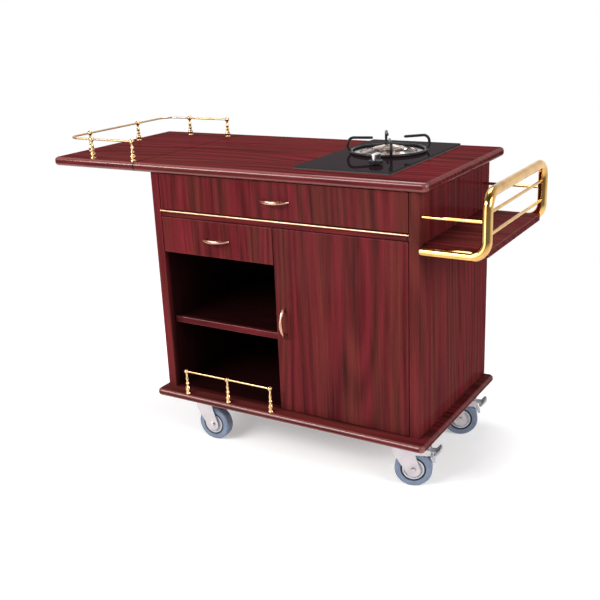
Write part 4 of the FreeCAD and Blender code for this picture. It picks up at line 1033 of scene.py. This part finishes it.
@dataclass
class Carcass(Assembly):
    """Laminate boards of the cabinet."""

    upright: tuple[str, ...] = ("left_side_panel", "right_side_panel", "back_panel", "centre_divider")
    level: tuple[str, ...] = ("base_board", "drawer_deck", "bay_shelves", "side_shelf")
    first_upright: int = 1
    first_level: int = 11
    # The right side panel has softer grain and a lighter tone than the other boards: light painted on that
    # side
    softer_grain_and_painted_light: dict[str, dict[str, float]] = field(default_factory=lambda: {
        "right_side_panel": {"contrast": 0.85, "tone": 0.99}})
    # Distance behind the front at which each board's painted shade starts
    painted_shade_from: dict[str, float] = field(default_factory=lambda: {
        "base_board": 0.0007, "left_side_panel": 0.0007, "bay_shelves": 0.0223})
    # Depth over which the painted shade grows full
    painted_shade_fade: float = 0.022
    # Gloss and painted highlight on the level boards' rounded noses
    nose_gloss: float = 1.0
    nose_light: float = 0.45

    def board(self, node: str, axis: GrainAxis, seed: int, **changes: float) -> None:
        """Dress one board.

        Args:
            node: Name of the board's node.
            axis: Run of its grain.
            seed: Start of its grain.
            changes: Other fields of its finish.
        """
        if node in self.painted_shade_from:
            changes |= {"painted_shade_from": self.painted_shade_from[node], "fade": self.painted_shade_fade}
        changes |= self.softer_grain_and_painted_light.get(node, {})
        dress([node], Mahogany("mahogany_" + node, axis, float(seed), **changes))

    def dress(self) -> None:
        """Give each board its own run of grain."""
        for seed, node in enumerate(self.upright, self.first_upright):
            self.board(node, GrainAxis.UPRIGHT, seed)
        for seed, node in enumerate(self.level, self.first_level):
            self.board(node, GrainAxis.ALONG, seed, nose_gloss=self.nose_gloss, nose_light=self.nose_light)


@dataclass
class Tops(Assembly):
    """Worktop, folding leaf, and the hidden ironwork under the leaf."""

    boards: tuple[str, ...] = ("worktop", "leaf_board")
    iron: tuple[str, ...] = ("leaf_hinge_fixed", "leaf_hinge_moving", "stay_arms", "stay_brackets",
                             "stay_tracks")
    seed: float = 21.0
    # Worktop and leaf are toned darker than the other boards: shade painted on the top
    tone: float = 0.88
    gloss: float = 0.015
    # Gloss and painted highlight on the rounded noses of worktop and leaf
    nose_gloss: float = 0.9
    nose_light: float = 0.45
    plate: float = 0.002
    screw_out: float = 0.022
    screw_pitch: float = 0.020
    hinge_length: float = 0.060
    bracket_width: float = 0.024
    bracket_screw: float = 0.015

    def build(self) -> None:
        """Drive the screws of the leaf's hinges and brackets."""
        leaf_low, leaf_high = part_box("leaf_board")
        for node, side, body in (("leaf_hinge_fixed", 1.0, "chassis"), ("leaf_hinge_moving", -1.0, "leaf")):
            low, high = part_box(node)
            x = leaf_high.x + side * self.screw_out
            heads = Shape()
            for centre in (low.y + self.hinge_length / 2, high.y - self.hinge_length / 2):
                for step in (-self.screw_pitch, 0.0, self.screw_pitch):
                    heads.screw((x, centre + step, leaf_low.z - self.plate), DOWN)
            heads.place("hinge_screws_" + body, PLATED_STEEL, body, "plated_steel")
        low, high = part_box("stay_brackets")
        heads = Shape()
        for y in (low.y + self.bracket_width / 2, high.y - self.bracket_width / 2):
            for step in (-self.bracket_screw, self.bracket_screw):
                heads.screw(((low.x + high.x) / 2 + step, y, high.z - self.plate), DOWN)
        heads.place("bracket_screws", PLATED_STEEL, "leaf", "plated_steel")

    def dress(self) -> None:
        """Finish the boards and the ironwork."""
        wood = Mahogany("mahogany_top", GrainAxis.ALONG, self.seed, tone=self.tone, gloss=self.gloss,
                        nose_gloss=self.nose_gloss, nose_light=self.nose_light)
        dress(self.boards, wood)
        dress(self.iron, PLATED_STEEL)


@dataclass
class Fronts(Assembly):
    """Drawers and the cupboard door."""

    fronts: tuple[str, ...] = ("top_drawer_front", "small_drawer_front", "door_panel")
    boxes: tuple[str, ...] = ("top_drawer_box", "small_drawer_box")
    handles: tuple[str, ...] = ("top_drawer_handle", "small_drawer_handle", "door_handle")
    iron: tuple[str, ...] = ("drawer_runners", "top_drawer_slides", "small_drawer_slides")
    pins: tuple[str, ...] = ("door_pivot_pins",)
    first_seed: int = 31
    catch_in: float = 0.03325
    catch_width: float = 0.046
    catch_depth: float = 0.016
    catch_height: float = 0.014
    catch_gap: float = 0.001
    catch_chamfer: float = 0.0012
    catch_screw: float = 0.007
    strike: float = 0.001
    strike_in: float = 0.006
    strike_top: float = 0.005
    strike_below: float = 0.004
    strike_chamfer: float = 0.0003
    strike_screw: float = 0.016

    def build(self) -> None:
        """Fit the door's magnetic catch under the deck, and its strike plate on the door."""
        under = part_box("drawer_deck")[0].z
        door_low, door_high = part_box("door_panel")
        back = door_high.y
        left = door_low.x + self.catch_in
        right = left + self.catch_width
        front = back + 2 * self.strike
        foot = under - self.catch_height
        catch = Shape()
        catch.slab((left, front + self.catch_gap, foot), (right, front + self.catch_depth, under),
                   self.catch_chamfer)
        for x in (left + self.catch_screw, right - self.catch_screw):
            catch.screw((x, front + self.catch_depth / 2, foot), DOWN)
        catch.place("door_catch", CATCH_BROWN, "chassis", "mahogany")
        plate = Shape()
        plate.slab((left + self.strike_in, back, foot - self.strike_below),
                   (right - self.strike_in, back + self.strike, under - self.strike_top), self.strike_chamfer)
        plate.screw(((left + right) / 2, back + self.strike, under - self.strike_screw), BACK)
        plate.place("door_strike", PLATED_STEEL, "door", "plated_steel")

    def dress(self) -> None:
        """Finish the fronts, boxes, handles and runners."""
        for seed, node in enumerate(self.fronts, self.first_seed):
            dress([node], Mahogany("mahogany_" + node, GrainAxis.UPRIGHT, float(seed)))
        dress(self.boxes, DRAWER_BOARD)
        dress(self.handles, CHAMPAGNE_BRASS)
        dress(self.iron, PLATED_STEEL)
        dress(self.pins, DARK_STEEL)


@dataclass
class Brasswork(Assembly):
    """Galleries, rails and the trim strip."""

    galleries: tuple[str, ...] = ("lower_gallery_posts", "lower_gallery_rail", "leaf_gallery_posts",
                                  "leaf_gallery_rail")
    rails: tuple[str, ...] = ("side_rail_tube", "side_rail_rods")
    trim: tuple[str, ...] = ("trim_strip",)

    def dress(self) -> None:
        """Polish the brass."""
        dress(self.galleries, SATIN_BRASS)
        dress(self.rails, POLISHED_BRASS)
        dress(self.trim, BRUSHED_BRASS)


@dataclass
class Hob(Assembly):
    """Glass, burner, pan support, tap and pipes."""

    tap: tuple[str, ...] = ("valve_body", "valve_plug", "gas_pipes")
    pan_sheet: float = 0.0012
    probe_out: float = 0.0478
    igniter_turn: float = 255.0
    thermocouple_turn: float = 285.0
    glass_corner: float = 0.006
    corner_steps: int = 6
    bead: Profile = ((0.00002, 0.0), (0.0020, 0.0), (0.0011, 0.0004), (0.0005, 0.0010), (0.00002, 0.0021))
    pointer_half: float = 0.0009
    pointer_reach: Span = (0.0130, 0.0045)
    pointer_sink: float = 0.0002
    pointer_rise: float = 0.0004
    pointer_chamfer: float = 0.0003
    grip_height: float = 0.0167

    def probe(self, turn: float) -> Point:
        """Foot of a probe that stands in the pan beside the cap.

        Args:
            turn: Angle round the burner in degrees.

        Returns:
            The middle of its foot.
        """
        a = math.radians(turn)
        burner = middle("burner_cap")
        return (burner.x + self.probe_out * math.cos(a), burner.y + self.probe_out * math.sin(a),
                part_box("drip_pan")[0].z + self.pan_sheet)

    def probes(self) -> None:
        """Stand the igniter and the thermocouple by the burner."""
        spark = Shape()
        spark.turned(IGNITER, self.probe(self.igniter_turn))
        spark.place("igniter", PROBE_CERAMIC, "chassis", "burner_alloy")
        feeler = Shape()
        feeler.turned(THERMOCOUPLE, self.probe(self.thermocouple_turn))
        feeler.place("thermocouple", PROBE_COPPER, "chassis", "burner_brass")

    def seal(self) -> None:
        """Run the bead of sealant round the glass."""
        low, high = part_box("hob_glass")
        r = self.glass_corner
        centres = ((high.x - r, high.y - r), (low.x + r, high.y - r),
                   (low.x + r, low.y + r), (high.x - r, low.y + r))
        path = []
        for n, (x, y) in enumerate(centres):
            for step in range(self.corner_steps + 1):
                a = math.pi / 2 * (n + step / self.corner_steps)
                out = Vector((math.cos(a), math.sin(a), 0.0))
                path.append((Vector((x, y, low.z)) + out * r, out))
        seal = Shape()
        seal.swept(path, self.bead)
        seal.place("glass_seal", BLACK_SEALANT, "chassis", "black_glass")

    def pointer(self) -> None:
        """Set the white pointer into the top of the knob."""
        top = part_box("gas_knob")[1].z
        knob = middle("gas_knob")
        far, near = self.pointer_reach
        pointer = Shape()
        pointer.slab((knob.x - self.pointer_half, knob.y - far, top - self.pointer_sink),
                     (knob.x + self.pointer_half, knob.y - near, top + self.pointer_rise),
                     self.pointer_chamfer)
        pointer.place("knob_pointer", POINTER_WHITE, "knob", "knob")

    def build(self) -> None:
        """Add the probes, the sealant and the pointer."""
        self.probes()
        self.seal()
        self.pointer()

    def dress(self) -> None:
        """Finish each piece of the hob."""
        centre = tuple(middle("burner_cap"))
        dress(["hob_glass"], HobGlass("black_glass"))
        dress(["hob_tray"], TRAY_STEEL)
        chrome = HeatedMetal("chrome", centre, bright=(0.60, 0.54, 0.53), tint=(0.26, 0.19, 0.18),
                             soot=(0.05, 0.04, 0.04), flame=0.045, reach=0.055)
        brass = HeatedMetal("burner_brass", centre, bright=(0.60, 0.50, 0.45), tint=(0.32, 0.22, 0.18),
                            soot=(0.10, 0.07, 0.06), flame=0.004, reach=0.034)
        dress(["drip_pan"], chrome)
        dress(["burner_base"], BURNER_ALLOY)
        dress(["burner_cap"], brass)
        dress(["pan_support"], BLACK_ENAMEL)
        dress(self.tap, TAP_BRASS)
        dress(["gas_knob"], KnobFinish("knob_chrome_and_black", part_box("gas_knob")[1].z - self.grip_height))


@dataclass
class Casters(Assembly):
    """Four swivel casters, each with its turn about the king pin in degrees."""

    turns: dict[str, float] = field(default_factory=lambda: {
        "front_left": 2.0, "front_right": 20.0, "rear_left": 8.0, "rear_right": 22.0})
    bond_ring: float = 0.0335

    def dress(self) -> None:
        """Finish plates, screws, forks, wheels and pedals."""
        dress(["caster_plates"], CASTER_ZINC)
        dress(["caster_screws"], PLATED_STEEL)
        for name, turn in self.turns.items():
            a = math.radians(turn)
            axle = (-math.sin(a), math.cos(a), 0.0)
            dress([name + "_tyre"], Tyre("tyre_" + name, tuple(middle(name + "_tyre")), axle, self.bond_ring))
            dress([name + "_hub"], HUB_WHITE)
            dress([name + "_fork"], CASTER_ZINC)
            if name + "_brake_pedal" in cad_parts:
                dress([name + "_brake_pedal"], PEDAL_GREY)


@dataclass(frozen=True)
class Lamp:
    """Soft lamp, with its size in metres and its power in watts.

    A lamp that lights nothing matt shows only in shiny surfaces.
    """

    name: str
    place: Point
    aim: Point
    size: Span
    power: float
    lights_matt: bool = True

    def hang(self) -> None:
        """Add the lamp to the scene."""
        data = bpy.data.lights.new(self.name, "AREA")
        data.shape = "RECTANGLE"
        data.size, data.size_y = self.size
        data.energy = self.power
        lamp = bpy.data.objects.new(self.name, data)
        bpy.context.collection.objects.link(lamp)
        lamp.location = self.place
        lamp.rotation_euler = (Vector(self.aim) - Vector(self.place)).to_track_quat("-Z", "Y").to_euler()
        lamp.visible_camera = False
        lamp.visible_diffuse = self.lights_matt


@dataclass
class Studio:
    """Camera, floor, lamps and background."""

    eye: Point = (1.3580, -2.2123, 1.2477)
    yaw: float = -31.474
    pitch: float = 18.389
    roll: float = -2.433
    focal_px: float = 919.6
    frame_px: float = 600.0
    sensor: float = 36.0
    fill: float = 0.42
    ceiling: float = 0.45
    ceiling_rise: Span = (0.15, 0.75)
    room: float = 0.22
    room_turn: Span = (-0.35, 0.35)
    floor_half: float = 12.0
    floor_cloud: float = 2.0
    floor_tones: Stops = ((0.3, (0.90, 0.90, 0.90)), (0.7, (0.93, 0.93, 0.93)))
    floor_lift: float = 0.35
    floor_fade: Span = (0.7, 2.4)
    floor_oval: Point = (0.8, 1.0, 1.0)
    floor_matt: float = 0.8
    lamps: tuple[Lamp, ...] = (
        Lamp("key", place=(-1.6, -3.0, 2.5), aim=(0.0, 0.0, 0.5), size=(3.2, 1.2), power=140.0),
        Lamp("side", place=(3.1, -0.9, 1.9), aim=(0.3, 0.0, 0.5), size=(1.6, 1.6), power=60.0),
        Lamp("top", place=(-0.2, 0.6, 3.2), aim=(0.0, 0.0, 0.6), size=(1.8, 1.8), power=50.0),
        Lamp("panel", place=(-0.28, -1.77, 0.62), aim=(0.55, -0.2, 0.62), size=(1.2, 1.2), power=12.0,
             lights_matt=False))

    def camera(self) -> None:
        """Stand the camera at the photograph's viewpoint."""
        data = bpy.data.cameras.new("camera")
        data.sensor_width = self.sensor
        data.lens = self.focal_px / self.frame_px * self.sensor
        lens = bpy.data.objects.new("camera", data)
        bpy.context.collection.objects.link(lens)
        yaw, pitch, roll = (math.radians(v) for v in (self.yaw, self.pitch, self.roll))
        ahead = Vector((math.sin(yaw) * math.cos(pitch), math.cos(yaw) * math.cos(pitch), -math.sin(pitch)))
        right = Vector((math.cos(yaw), -math.sin(yaw), 0.0))
        up = right.cross(ahead)
        turned = right * math.cos(roll) + up * math.sin(roll)
        upright = up * math.cos(roll) - right * math.sin(roll)
        facing = Matrix((turned, upright, -ahead)).transposed().to_4x4()
        lens.matrix_world = Matrix.Translation(self.eye) @ facing
        bpy.context.scene.camera = lens

    def world(self) -> None:
        """White backdrop with a soft fill, dimmer overhead and, for mirror rays, on the camera's side."""
        world = bpy.data.worlds.new("studio")
        bpy.context.scene.world = world
        world.use_nodes = True
        sky = Nodes(world.node_tree)
        direction = sky.split(sky.where("Generated"))
        level = sky.spread(sky.rays(*Ray), self.fill, 1.0)
        overhead = sky.spread(direction[2], 1.0, self.ceiling, *self.ceiling_rise)
        dimming = sky.spread(direction[1], self.room - 1.0, 0.0, *self.room_turn)
        mirrored = sky.plus(sky.times(sky.rays(Ray.MIRROR), dimming), 1.0)
        back = sky.add("Background")
        back.inputs["Color"].default_value = WHITE
        sky.join(sky.times(sky.times(level, overhead), mirrored), back.inputs["Strength"])
        sky.join(back.outputs["Background"], sky.add("OutputWorld").inputs["Surface"])

    def floor(self) -> None:
        """Pale floor that takes the shadow and fades into the backdrop."""
        mesh = bpy.data.meshes.new("floor")
        half = self.floor_half
        corners = [(-half, -half, 0), (half, -half, 0), (half, half, 0), (-half, half, 0)]
        mesh.from_pydata(corners, [], [(0, 1, 2, 3)])
        floor = bpy.data.objects.new("floor", mesh)
        bpy.context.collection.objects.link(floor)
        bench = Bench("pale_floor")
        tint = bench.noise(bench.coords(self.floor_cloud), detail=3.0)
        bench.colour(bench.ramp(tint, self.floor_tones))
        bench.feed("Emission Strength", bench.times(bench.rays(*Ray), self.floor_lift))
        apart = bench.vectors("LENGTH", bench.coords(self.floor_oval)).outputs["Value"]
        bench.feed("Alpha", bench.spread(apart, 1.0, 0.0, *self.floor_fade))
        bench.fix(Roughness=self.floor_matt, Specular_IOR_Level=0.0, Emission_Color=WHITE)
        mesh.materials.append(bench.material)

    def build(self) -> None:
        """Set up the whole studio."""
        bpy.context.scene.view_settings.view_transform = "Standard"
        self.camera()
        self.world()
        self.floor()
        for lamp in self.lamps:
            lamp.hang()
        LOG.info("studio set")


def main() -> None:
    """Build and dress the trolley, then set up the studio."""
    logging.basicConfig(level=logging.INFO, format="%(name)s: %(message)s")
    for group in (Carcass(), Tops(), Fronts(), Brasswork(), Hob(), Casters()):
        group.build()
        group.dress()
    Studio().build()


if __name__ == "__main__":
    main()
